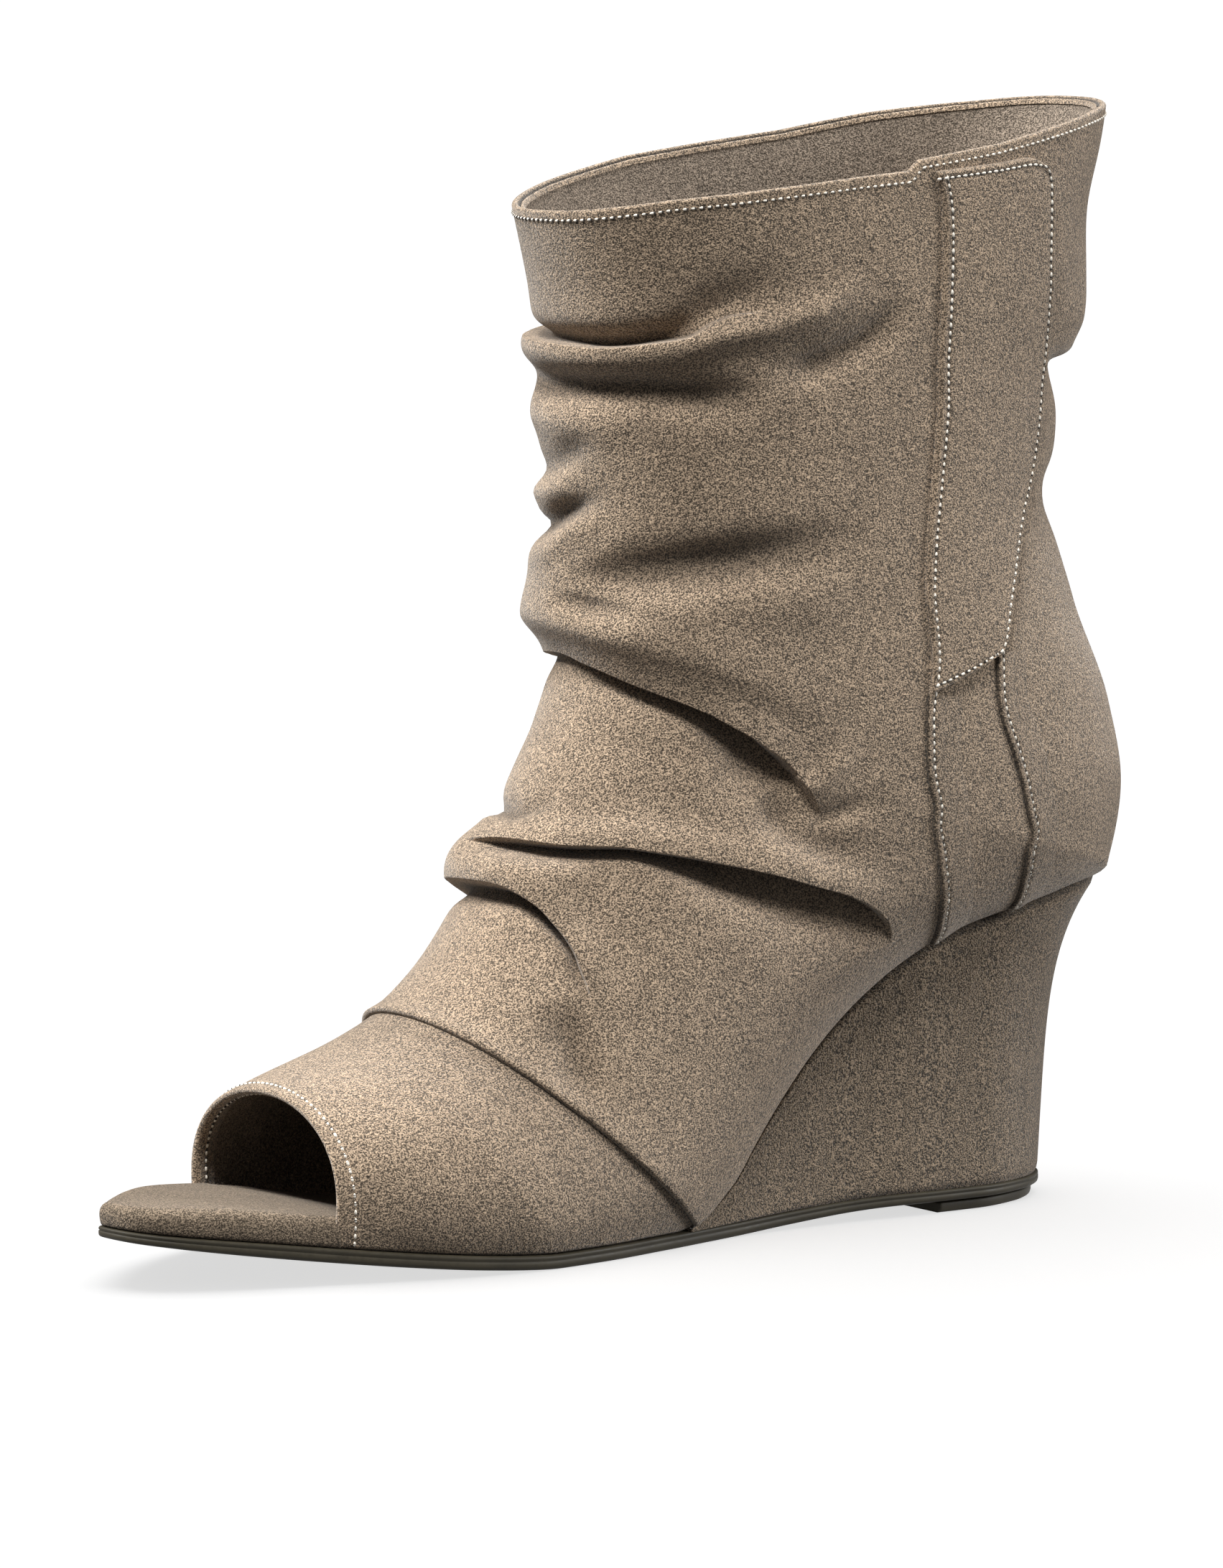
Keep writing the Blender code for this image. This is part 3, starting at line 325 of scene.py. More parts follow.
def skin(station, around):
    # bare upper: length, inner side and height at a station and a place around it
    station = np.asarray(station, float)
    around = np.asarray(around, float)
    arcSteps = 61
    nodes = [row[0] for row in sections]
    columns = [eased(nodes, [row[k] for row in sections], station) for k in (1, 2, 3, 5, 6, 7)]
    frontAlong, frontUp, backAlong, half, widest, roundness = columns
    frontAlong = frontAlong * soleLength
    frontUp = frontUp * collarHeight
    backAlong = backAlong * soleLength
    half = half * ballWidth
    closed = [row for row in sections if row[4] is not None]
    raised = eased([row[0] for row in closed], [row[4] for row in closed], station) * collarHeight
    backUp = np.where(station < closedStation, featherHeight(backAlong) + footGap, raised)
    middle, foot = footLine(backAlong)
    foot = np.minimum(np.where(station < closedStation, foot, 0.0), half * 0.999)
    reach = (1.0 - (foot / half) ** roundness) ** (1.0 / roundness)
    lowAngle = np.arcsin(np.clip(reach ** (roundness / 2.0), 0.0, 1.0))
    steps = np.linspace(0.0, 1.0, arcSteps)
    angle = -lowAngle[:, None] + steps * (lowAngle + math.pi / 2.0)[:, None]
    power = (2.0 / roundness)[:, None]
    rise = np.abs(np.sin(angle)) ** power
    wide = half[:, None] * np.abs(np.cos(angle)) ** power
    below = widest[:, None] * (1.0 - rise / reach[:, None])
    above = widest[:, None] + (1.0 - widest[:, None]) * rise
    shareUp = np.where(angle < 0.0, below, above)
    tall = np.hypot(frontAlong - backAlong, frontUp - backUp)
    parts = np.hypot(np.diff(wide, axis=1), np.diff(shareUp, axis=1) * tall[:, None])
    length = np.concatenate((np.zeros((len(station), 1)), np.cumsum(parts, axis=1)), axis=1)
    target = (1.0 - np.abs(around)) * length[:, -1]
    index = np.clip((length < target[:, None]).sum(1) - 1, 0, arcSteps - 2)
    row = np.arange(len(station))
    part = (target - length[row, index]) / np.maximum(parts[row, index], 1e-12)
    width = wide[row, index] + part * (wide[row, index + 1] - wide[row, index])
    climb = shareUp[row, index] + part * (shareUp[row, index + 1] - shareUp[row, index])
    lean = toeLean * (1.0 - smoothStep(0.0, closedStation, station))
    shift = middle * (1.0 - climb) * (1.0 - smoothStep(0.30, closedStation, station)) + lean * climb
    along = backAlong + climb * (frontAlong - backAlong)
    up = backUp + climb * (frontUp - backUp)
    return np.stack((along, shift + np.sign(around) * width, up), 1)


def wrapped(around):
    return np.mod(np.asarray(around, float) + 1.0, 2.0) - 1.0


def unit(vectors):
    return vectors / np.maximum(np.linalg.norm(vectors, axis=-1, keepdims=True), 1e-12)


def directions(shape, station, around):
    # outward, up the shaft and across, by small steps
    step = 0.002
    ahead = shape(np.clip(station + step, 0.0, 1.0), around)
    behind = shape(np.clip(station - step, 0.0, 1.0), around)
    closed = station >= closedStation
    right = shape(station, np.where(closed, wrapped(around + step), np.clip(around + step, -1.0, 1.0)))
    left = shape(station, np.where(closed, wrapped(around - step), np.clip(around - step, -1.0, 1.0)))
    climb = ahead - behind
    return unit(np.cross(climb, right - left)), unit(climb)


def foldLine(nodes, fine=10):
    nodes = np.array(nodes)
    knots = np.arange(len(nodes))
    place = np.linspace(0.0, len(nodes) - 1.0, fine * (len(nodes) - 1) + 1)
    return np.stack((eased(knots, nodes[:, 0], place), eased(knots, nodes[:, 1], place)), 1)


def lineDistance(points, station, around, line):
    # signed distance to a line on the skin, positive above it, and the share along it
    crest = skin(line[:, 1], wrapped(line[:, 0]))
    best = np.full(len(points), 1e9)
    share = np.zeros(len(points))
    nearest = np.zeros(len(points), int)
    for k in range(len(crest) - 1):
        run = crest[k + 1] - crest[k]
        place = np.clip(((points - crest[k]) @ run) / max(run @ run, 1e-12), 0.0, 1.0)
        gap = points - crest[k] - place[:, None] * run
        distance = np.einsum("ij,ij->i", gap, gap)
        closer = distance < best
        best = np.where(closer, distance, best)
        share = np.where(closer, (k + place) / (len(crest) - 1.0), share)
        nearest = np.where(closer, k, nearest)
    ahead = line[nearest + 1] - line[nearest]
    turn = wrapped(around - line[nearest, 0])
    rise = station - line[nearest, 1]
    side = np.where(ahead[:, 0] * rise - ahead[:, 1] * turn > 0.0, 1.0, -1.0)
    return np.sqrt(best) * side, share


def nearLine(points, station, around, line, width):
    # which points are near a line on the skin, their signed distances to it and shares along it
    reach = 0.02 + 3.2 * width / 0.15
    close = np.nonzero((station > line[:, 1].min() - reach) & (station < line[:, 1].max() + reach))[0]
    return close, *lineDistance(points[close], station[close], around[close], line)


def foldedSkin(station, around, skip=(), plain=False):
    # the bare skin with its folds; plain leaves the lips as soft troughs, for what lies behind the cloth
    station = np.asarray(station, float)
    around = np.asarray(around, float)
    points = skin(station, around)
    normal, climb = directions(skin, station, around)
    out = np.zeros(len(points))
    sag = np.zeros(len(points))
    for fold, peak, above, below, fadeIn, fadeOut, nodes in folds:
        if fold in skip:
            continue
        line = foldLine(nodes, 6)
        close, distance, share = nearLine(points, station, around, line, max(above, below))
        width = np.where(distance > 0.0, above, below)
        strength = smoothStep(0.0, fadeIn, share) * (1.0 - smoothStep(1.0 - fadeOut, 1.0, share))
        out[close] += peak * strength * np.exp(-((distance / width) ** 2))
    for lip, side, width, crown, hang, soft, nodes in lips:
        if lip in skip:
            continue
        table = np.array(nodes)
        line = foldLine(table[:, :2], 6)
        close, distance, share = nearLine(points, station, around, line, 0.010)
        knots = np.arange(len(table))
        place = share * (len(table) - 1.0)
        over, under, pocket = (eased(knots, table[:, k], place) / 1000.0 for k in (2, 3, 4))
        ahead = distance * side
        if plain:
            out[close] -= under * np.exp(-((ahead / (pocket * 1.2)) ** 2))
            continue
        cloth = smoothStep(-soft, soft, ahead)
        out[close] += cloth * over * np.exp(-(((ahead - crown) / width) ** 2))
        out[close] -= (1.0 - cloth) * under * np.exp(-((ahead / pocket) ** 2))
        share = over / (table[:, 2].max() / 1000.0)
        sag[close] += side * hang * cloth * share * np.exp(-((ahead / (0.6 * width)) ** 2))
    folded = points + normal * out[:, None] - climb * sag[:, None]
    lift = np.interp(around, [row[0] for row in rimLift], [row[1] for row in rimLift])
    folded[:, 2] += lift * smoothStep(0.93, 1.0, station)
    return folded


def toRow(points):
    placed = np.empty_like(points)
    placed[..., 0] = points[..., 0] - originShare * soleLength
    placed[..., 1] = -points[..., 1]
    placed[..., 2] = points[..., 2]
    return placed


def pathLength(points):
    # length of a path up to each of its points
    return np.concatenate(([0.0], np.cumsum(np.linalg.norm(np.diff(points, axis=0), axis=1))))


def measuredLine(nodes):
    line = foldLine(nodes, 14)
    return line, pathLength(skin(line[:, 1], wrapped(line[:, 0])))


def lineRail(nodes):
    # evenly spaced places around and stations along a line on the skin
    line, run = measuredLine(nodes)
    even = np.linspace(0.0, run[-1], max(4, int(run[-1] / 0.0008)))
    return np.interp(even, run, line[:, 0]), np.interp(even, run, line[:, 1])


def raisedSkin(stations, places, height, skip=()):
    flat = foldedSkin(stations, wrapped(places), skip)
    stations = np.asarray(stations, float)
    normal, climb = directions(lambda s, a: foldedSkin(s, a, skip), stations, wrapped(places))
    return flat + normal * np.broadcast_to(height, stations.shape)[:, None]


def addObject(name, data):
    item = bpy.data.objects.new(name, data)
    bpy.context.scene.collection.objects.link(item)
    return item


def meshPiece(name, points, faces, material, values=None, merge=0.0):
    mesh = bpy.data.meshes.new(name)
    mesh.from_pydata(toRow(np.asarray(points, float)).tolist(), [], faces)
    for key, value in (values or {}).items():
        layer = mesh.attributes.new(key, "FLOAT", "POINT")
        layer.data.foreach_set("value", np.asarray(value, np.float32))
    body = bmesh.new()
    body.from_mesh(mesh)
    if merge:
        bmesh.ops.remove_doubles(body, verts=body.verts, dist=merge)
    bmesh.ops.recalc_face_normals(body, faces=body.faces)
    for face in body.faces:
        face.smooth = True
    body.to_mesh(mesh)
    body.free()
    mesh.materials.append(material)
    return addObject(name, mesh)


def gridFaces(rows, columns, start=0):
    index = start + np.arange(rows * columns).reshape(rows, columns)
    a = index[:-1, :-1].ravel()
    b = index[:-1, 1:].ravel()
    c = index[1:, 1:].ravel()
    d = index[1:, :-1].ravel()
    return np.stack((a, b, c, d), 1).tolist()


def newMaterial(name):
    material = bpy.data.materials.new(name)
    material.use_nodes = True
    return material, material.node_tree, material.node_tree.nodes["Principled BSDF"]


def setInputs(node, values):
    for key, value in values.items():
        node.inputs[key].default_value = value


def noiseNode(tree, coords, scale, detail=2.0, roughness=0.5):
    noise = tree.nodes.new("ShaderNodeTexNoise")
    setInputs(noise, {"Scale": scale, "Detail": detail, "Roughness": roughness})
    tree.links.new(coords, noise.inputs["Vector"])
    return noise.outputs["Fac"]


def mathNode(tree, operation, first, second=None, third=None):
    node = tree.nodes.new("ShaderNodeMath")
    node.operation = operation
    for socket, value in zip(node.inputs, (first, second, third)):
        if value is None:
            continue
        if isinstance(value, (int, float)):
            socket.default_value = value
        else:
            tree.links.new(value, socket)
    return node.outputs[0]


def spread(tree, value, low, high, newLow, newHigh):
    node = tree.nodes.new("ShaderNodeMapRange")
    tree.links.new(value, node.inputs["Value"])
    setInputs(node, {"From Min": low, "From Max": high, "To Min": newLow, "To Max": newHigh})
    return node.outputs["Result"]


def shadeColour(tree, shader, colour, shade):
    # the base colour, darkened and lightened by a grey value
    mix = tree.nodes.new("ShaderNodeMix")
    mix.data_type = "RGBA"
    mix.blend_type = "MULTIPLY"
    setInputs(mix, {"Factor": 1.0, 6: (*colour, 1.0)})
    grey = tree.nodes.new("ShaderNodeCombineColor")
    for k in range(3):
        tree.links.new(shade, grey.inputs[k])
    tree.links.new(grey.outputs[0], mix.inputs[7])
    tree.links.new(mix.outputs[2], shader.inputs["Base Color"])


def raiseGrain(tree, shader, height, strength, depth):
    bumpNode = tree.nodes.new("ShaderNodeBump")
    setInputs(bumpNode, {"Strength": strength, "Distance": depth})
    tree.links.new(height, bumpNode.inputs["Height"])
    tree.links.new(bumpNode.outputs["Normal"], shader.inputs["Normal"])


def suedeMaterial(name, colour, speckle=0.72, mottle=0.06, bump=0.00044, sheen=0.85):
    material, tree, shader = newMaterial(name)
    coords = tree.nodes.new("ShaderNodeTexCoord").outputs["Object"]
    fine = noiseNode(tree, coords, 3000.0, 1.5, 0.55)
    grain = noiseNode(tree, coords, 1300.0, 2.0, 0.6)
    patch = noiseNode(tree, coords, 130.0, 3.0, 0.55)
    cloud = noiseNode(tree, coords, 32.0, 2.0, 0.5)
    fineShare = spread(tree, fine, 0.42, 0.58, 1.0 - speckle, 1.0 + speckle)
    grainShare = spread(tree, grain, 0.34, 0.66, 1.0 - speckle * 0.35, 1.0 + speckle * 0.35)
    patchShare = spread(tree, patch, 0.30, 0.70, 1.0 - mottle, 1.0 + mottle)
    cloudShare = spread(tree, cloud, 0.30, 0.70, 1.0 - mottle * 0.7, 1.0 + mottle * 0.7)
    # this attribute carries each piece's painted shade and highlight into the colour
    paintedLight = tree.nodes.new("ShaderNodeAttribute")
    paintedLight.attribute_name = "paintedLight"
    total = fineShare
    for share in (grainShare, patchShare, cloudShare, paintedLight.outputs["Fac"]):
        total = mathNode(tree, "MULTIPLY", total, share)
    shadeColour(tree, shader, colour, total)
    relief = mathNode(tree, "MULTIPLY", grain, 0.8)
    relief = mathNode(tree, "MULTIPLY_ADD", fine, 0.55, relief)
    relief = mathNode(tree, "MULTIPLY_ADD", patch, 0.9, relief)
    raiseGrain(tree, shader, relief, 1.0, bump)
    setInputs(shader, {"Roughness": 0.95, "Specular IOR Level": 0.12, "Sheen Roughness": 0.5})
    setInputs(shader, {"Sheen Weight": sheen * 0.4, "Sheen Tint": (1.0, 0.99, 0.97, 1.0)})
    return material


def rubberMaterial(name, colour):
    material, tree, shader = newMaterial(name)
    coords = tree.nodes.new("ShaderNodeTexCoord").outputs["Object"]
    grain = noiseNode(tree, coords, 700.0, 3.0, 0.6)
    cloud = noiseNode(tree, coords, 90.0, 2.0, 0.5)
    shade = mathNode(tree, "MULTIPLY", spread(tree, grain, 0.3, 0.7, 0.86, 1.14),
                     spread(tree, cloud, 0.3, 0.7, 0.85, 1.15))
    shadeColour(tree, shader, colour, shade)
    tree.links.new(spread(tree, grain, 0.3, 0.7, 0.48, 0.62), shader.inputs["Roughness"])
    raiseGrain(tree, shader, grain, 0.5, 0.00006)
    setInputs(shader, {"Specular IOR Level": 0.22})
    return material


def threadMaterial(name, colour):
    material, tree, shader = newMaterial(name)
    coords = tree.nodes.new("ShaderNodeTexCoord").outputs["Object"]
    twist = noiseNode(tree, coords, 2500.0, 1.0, 0.5)
    shade = spread(tree, twist, 0.3, 0.7, 0.82, 1.08)
    shadeColour(tree, shader, colour, shade)
    setInputs(shader, {"Roughness": 0.7})
    return material


suedeColour = (0.252, 0.188, 0.130)
shaftSuede = suedeMaterial("suede_shaft", suedeColour)
vampSuede = suedeMaterial("suede_toe", suedeColour)
wedgeSuede = suedeMaterial("suede_wedge", (0.150, 0.112, 0.076), speckle=0.80)
insoleSuede = suedeMaterial("suede_insole", (0.150, 0.115, 0.081), speckle=0.60, sheen=0.25)
liningSuede = suedeMaterial("suede_lining", (0.225, 0.182, 0.142), speckle=0.55, sheen=0.2)
soleRubber = rubberMaterial("rubber_sole", (0.032, 0.027, 0.017))
whiteThread = threadMaterial("thread_white", (0.86, 0.80, 0.70))
# near-black beads between the stitches, painted shade in the stitch holes
holeShade = threadMaterial("stitch_hole_shade", (0.022, 0.016, 0.011))
print("materials made")

# the shaft: front panels and heel counter in one skin, with its rim, and the lining in it
shaftSize = {
    "rows": (20, 36, 26, 24, 104, 44),
    "pack": 0.86,
    "nearColumns": 200,
    "farColumns": 100,
    "liningRows": 70,
    "lapStart": 0.0006,
    "guideStart": 0.0180,
    "liningDepth": 0.0016,
    "liningStations": (0.212, 0.997),
    "liningColumns": (90, 70),
    "shadeReach": 0.0020,
    "merge": 0.000004,
}
liningFoot = 0.0002
# rows of the lap over the toe panel: station past its start, height over the skin
shaftLap = (
    (0.0030, 0.0002), (0.0, 0.0001), (-0.0004, 0.0007), (0.0, 0.00125), (0.0016, 0.00150),
    (0.0050, 0.00140), (0.0110, 0.00115),
)
# turned edges, outward and ahead of the edge
rimProfile = (
    (0.00080, 0.00025), (0.00045, 0.00050), (0.0, 0.00055), (-0.00040, 0.00035), (-0.00060, -0.00010),
    (-0.00068, -0.00080), (-0.00085, -0.00080), (-0.00110, -0.00030), (-0.00145, -0.00025),
    (-0.00175, -0.00060), (-0.00185, -0.00140),
)
toeProfile = (
    (-0.0019, -0.0060), (-0.0020, -0.0030), (-0.0020, -0.0012), (-0.0018, -0.0002), (-0.0013, 0.0004),
    (-0.0007, 0.0006), (-0.0002, 0.0004),
)


def guidedRows(low, places, thin):
    # stations of the rows, packed close at the lips, one row of values for each place around
    levels = [np.full(len(places), low)]
    levels += [eased([n[0] for n in line], [n[1] for n in line], places) for line in guides]
    levels.append(np.ones(len(places)))
    ends = ((False, True), (True, True), (True, False), (False, True), (True, True), (True, False))
    stations = [levels[0]]
    for k in range(len(levels) - 1):
        cells = shaftSize["rows"][k] // thin
        step = np.arange(1, cells + 1) / cells
        pack = shaftSize["pack"]
        if ends[k] == (True, True):
            share = step - pack * np.sin(2.0 * math.pi * step) / (2.0 * math.pi)
        else:
            share = step + (pack if ends[k][1] else -pack) * np.sin(math.pi * step) / math.pi
        stations += [levels[k] + (levels[k + 1] - levels[k]) * value for value in share]
    return np.array(stations)


def aroundPlaces(near, far):
    # closer together on the inner side, which carries the seams
    return np.concatenate((np.linspace(-1.0, 0.0, far + 1)[:-1], np.linspace(0.0, 1.0, near + 1)))


def seatedPoints(points, lift):
    lifted = points.copy()
    lifted[..., 2] = np.maximum(points[..., 2], featherHeight(points[..., 0]) + lift)
    return lifted


footTuck = {"inward": 0.0016, "down": 0.0006}


def tuckedFoot(points, faces, surface):
    # the foot edges of the first and last column, tucked in under the upper
    count = surface.shape[1]
    for column in (0, count - 1):
        edge = surface[:, column]
        middle, half = footLine(edge[:, 0])
        tuck = edge.copy()
        tuck[:, 1] += np.where(edge[:, 1] > middle, -footTuck["inward"], footTuck["inward"])
        tuck[:, 2] -= footTuck["down"]
        start = len(points)
        points = np.concatenate((points, tuck))
        for k in range(len(edge) - 1):
            faces.append((k * count + column, (k + 1) * count + column, start + k + 1, start + k))
    return points, faces


def foldShade(lift):
    # painted shade down in the folds and a little painted highlight on the ridges, from how far the skin
    # lies below or above its smoothed surroundings
    soft = lift
    for k in range(40):
        wide = np.pad(soft, ((1, 1), (0, 0)), mode="edge")
        soft = (wide[:-2] + 2.0 * soft + wide[2:]) / 4.0
        wide = np.pad(soft, ((0, 0), (1, 1)), mode="wrap")
        soft = (wide[:, :-2] + 2.0 * soft + wide[:, 2:]) / 4.0
    below = (soft - lift) / shaftSize["shadeReach"]
    return 1.0 - 0.52 * np.clip(below, 0.0, 1.0) + 0.06 * np.clip(-below, 0.0, 1.0)


def makeShaft():
    thin = 1
    places = aroundPlaces(shaftSize["nearColumns"] // thin, shaftSize["farColumns"] // thin)
    count = len(places)
    low = seamStation - shaftSize["lapStart"]
    lap = np.array(shaftLap)
    main = guidedRows(low + shaftSize["guideStart"], places, thin)
    stations = np.concatenate((np.repeat(low + lap[:, :1], count, axis=1), main))
    heights = np.concatenate((lap[:, 1], np.full(len(main), seamStep)))
    stationGrid = stations.ravel()
    placeGrid = np.tile(places, len(stations))
    flat = foldedSkin(stationGrid, placeGrid)
    grid = flat.reshape(len(stations), count, 3)
    normal = gridNormals(grid, stations[:, 0])
    bareNormal, _ = directions(skin, stationGrid, placeGrid)
    lift = ((flat - skin(stationGrid, placeGrid)) * bareNormal).sum(axis=1).reshape(len(stations), count)
    outer = grid + bareNormal.reshape(len(stations), count, 3) * heights[:, None, None]
    outer = np.where((stations < closedStation)[:, :, None], seatedPoints(outer, footGap), outer)
    # rim folded over the top edge, then the lining's edge a little lower
    ahead = unit(grid[-1] - grid[-3])
    rim = [grid[-1] + normal[-1] * out + ahead * up for out, up in rimProfile]
    points = np.concatenate([outer.reshape(-1, 3)] + rim)
    faces = gridFaces(len(stations) + len(rim), count)
    openRows = int(np.argmin(np.abs(stations[:, 0] - closedStation))) + 1
    points, faces = tuckedFoot(points, faces, outer[:openRows])
    paintedLight = np.ones(len(points))
    # painted shade in the shaft's folds and painted highlight on its ridges
    paintedLight[:len(stationGrid)] = foldShade(lift).ravel()
    # painted shadow along the lap's front edge on the first rows, lighter on the next row
    paintedLight[:2 * count] = 0.35
    paintedLight[2 * count:3 * count] = 0.7
    # painted shade in the groove inside the turned rim, above the lining's edge
    paintedLight[(len(stations) + 4) * count:(len(stations) + 7) * count] = 0.15
    shaft = meshPiece("upper_shaft", points, faces, shaftSuede, {"paintedLight": paintedLight}, shaftSize["merge"])
    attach(shaft, "root")
    return shaft, BVHTree.FromPolygons(outer.reshape(-1, 3).tolist(), gridFaces(len(stations), count))


def gridNormals(points, stations):
    # outward directions on a grid, from its own neighbours
    keep = np.concatenate(([True], np.abs(np.diff(stations)) > 1e-9))
    single = points[keep]
    along = np.gradient(single, axis=0)
    closed = np.abs(single[:, 0, :] - single[:, -1, :]).max(axis=1) < 1e-6
    across = np.gradient(single, axis=1)
    for k in np.nonzero(closed)[0]:
        turn = single[k, 1, :] - single[k, -2, :]
        across[k, 0, :] = turn
        across[k, -1, :] = turn
        lift = (along[k, 0, :] + along[k, -1, :]) / 2.0
        along[k, 0, :] = lift
        along[k, -1, :] = lift
    return unit(np.cross(along, across))[np.cumsum(keep) - 1]


def gridPlaces(rows, columns):
    # row and column value for each point of a grid
    return np.repeat(rows, len(columns)), np.tile(columns, len(rows))


def makeLining():
    stations = np.linspace(*shaftSize["liningStations"], shaftSize["liningRows"])
    closedRow = int(np.argmin(np.abs(stations - closedStation)))
    stations[closedRow] = closedStation
    places = aroundPlaces(*shaftSize["liningColumns"])
    grid = foldedSkin(*gridPlaces(stations, places), (), True).reshape(len(stations), len(places), 3)
    normal = gridNormals(grid, stations)
    inner = grid - normal * shaftSize["liningDepth"]
    inner = np.where((stations < closedStation)[:, None, None], seatedPoints(inner, liningFoot), inner)
    faces = gridFaces(len(stations), len(places))
    inner = inner.reshape(-1, 3)
    paintedLight = np.ones(len(inner))
    lining = meshPiece("lining_shaft", inner, faces, liningSuede, {"paintedLight": paintedLight}, shaftSize["merge"])
    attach(lining, "root")
    return lining


shaftPiece, shaftSurface = makeShaft()
liningPiece = makeLining()
print("shaft made")

# toe panel with its turned-in opening
toeSize = {"rows": 70, "columns": 220, "overlap": 0.006, "liningDepth": 0.0015}


def makeToe():
    rows = toeSize["rows"]
    places = np.linspace(-1.0, 1.0, toeSize["columns"] + 1)
    count = len(places)
    stations = np.linspace(0.0, seamStation + toeSize["overlap"], rows)
    grid = foldedSkin(*gridPlaces(stations, places)).reshape(rows, count, 3)
    normal = gridNormals(grid, stations)
    ahead = unit(grid[0] - grid[2])
    outer = seatedPoints(grid, footGap)
    rim = [seatedPoints(grid[0] + normal[0] * out + ahead * up, footGap) for out, up in toeProfile]
    points = np.concatenate(rim + [outer.reshape(-1, 3)])
    total = rows + len(rim)
    faces = gridFaces(total, count)
    points, faces = tuckedFoot(points, faces, points.reshape(total, count, 3))
    paintedLight = np.ones(len(points))
    # painted shade inside the turned-in opening
    paintedLight[:2 * count] = 0.75
    # painted shade deepening towards the seam, under the shaft's lap
    towardSeam = np.clip((stations - 0.05) / 0.14, 0.0, 1.0)
    paintedLight[len(rim) * count:total * count] = np.repeat(1.0 - 0.16 * towardSeam, count)
    toe = meshPiece("upper_toe", points, faces, vampSuede, {"paintedLight": paintedLight})
    inner = seatedPoints(grid[3:] - normal[3:] * toeSize["liningDepth"], liningFoot).reshape(-1, 3)
    paintedLight = np.ones(len(inner))
    lining = meshPiece("lining_toe", inner, gridFaces(rows - 3, count), liningSuede, {"paintedLight": paintedLight})
    for piece in (toe, lining):
        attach(piece, "root")
    return toe, lining


toePiece, toeLining = makeToe()
for piece in (shaftPiece, toePiece, liningPiece, toeLining):
    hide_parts("upper")
print("toe panel made")


# bodies of the sole, from paired edge rows over the plan outline
def capRow(row, share):
    inner, outer = row
    return inner + (outer - inner) * share


def walledPiece(name, rows, material, tones, caps):
    # a skin over the rows' inner edges, across the top, down the outer edges and across the bottom
    steps = [k / caps for k in range(1, caps)]
    strips = [row[0] for row in rows]
    strips += [capRow(rows[-1], step) for step in steps]
    strips += [row[1] for row in reversed(rows)]
    strips += [capRow(rows[0], 1.0 - step) for step in steps]
    strips.append(rows[0][0])
    toneRows = tones + tones[-1:] * len(steps) + tones[::-1] + tones[:1] * caps
    count = len(strips[0])
    points = np.concatenate(strips)
    faces = gridFaces(len(strips), count)
    for end in (0, count - 1):
        for k in range(len(rows) - 1):
            # the flat ends, between the inner and the outer edge rows
            high = len(rows) * 2 + caps - 2 - k
            faces.append([row * count + end for row in (k, k + 1, high - 1, high)])
    paintedLight = np.repeat(np.array(toneRows, float), count)
    piece = meshPiece(name, points, faces, material, {"paintedLight": paintedLight}, 0.000003)
    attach(piece, "root")
    return piece


def edgeRow(share, margin, lean, height):
    # the inner and the outer edge of one level, as points along the shoe
    along, inner, outer = planEdges(share, margin, lean)
    up = height(along)
    return np.stack((along, inner, up), 1), np.stack((along, outer, up), 1)


# share of the height and inset of each level, in metres
outsoleSize = {
    "columns": 260,
    "levels": ((0.0, 0.00075), (0.05, 0.00035), (0.14, 0.00008), (0.30, 0.0), (0.55, 0.0),
               (0.63, 0.00025), (0.71, 0.00002), (0.86, 0.00004), (0.95, 0.00022), (1.0, 0.0006)),
}
heelLiftSize = {
    "front": 0.84,
    "columns": 90,
    "levels": ((0.0, 0.0016), (0.1, 0.0013), (0.3, 0.0012), (0.8, 0.0012), (1.0, 0.0014)),
}
wedgeSize = {
    "front": 0.545,
    "back": 0.83,
    "columns": (130, 110),
    "margin": 0.0002,
    "clear": 0.0001,
    "footInset": 0.0007,
    "topInset": 0.0016,
    "belly": 0.0002,
}
insoleSize = {
    "open": 0.152,
    "closed": 0.188,
    "columns": (60, 30, 150),
    "margin": 0.0002,
    "underInset": 0.0006,
    "topInset": 0.0022,
}


def makeOutsole():
    share = turnShares(0.0, 1.0, outsoleSize["columns"])

    def between(part):
        return lambda along: treadBottom(along) + part * (treadTop(along) - treadBottom(along))

    rows = [edgeRow(share, inset, 0.0, between(part)) for part, inset in outsoleSize["levels"]]
    piece = walledPiece("sole_tread", rows, soleRubber, [1.0] * len(rows), 12)
    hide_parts("outsole")


def makeHeelLift():
    share = turnShares(heelLiftSize["front"], 1.0, heelLiftSize["columns"])

    def between(part):
        return lambda along: part * (treadBottom(along) - pieceGap)

    rows = [edgeRow(share, inset, 0.0, between(part)) for part, inset in heelLiftSize["levels"]]
    piece = walledPiece("sole_heel_lift", rows, soleRubber, [1.0] * len(rows), 10)
    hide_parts("heel_lift")


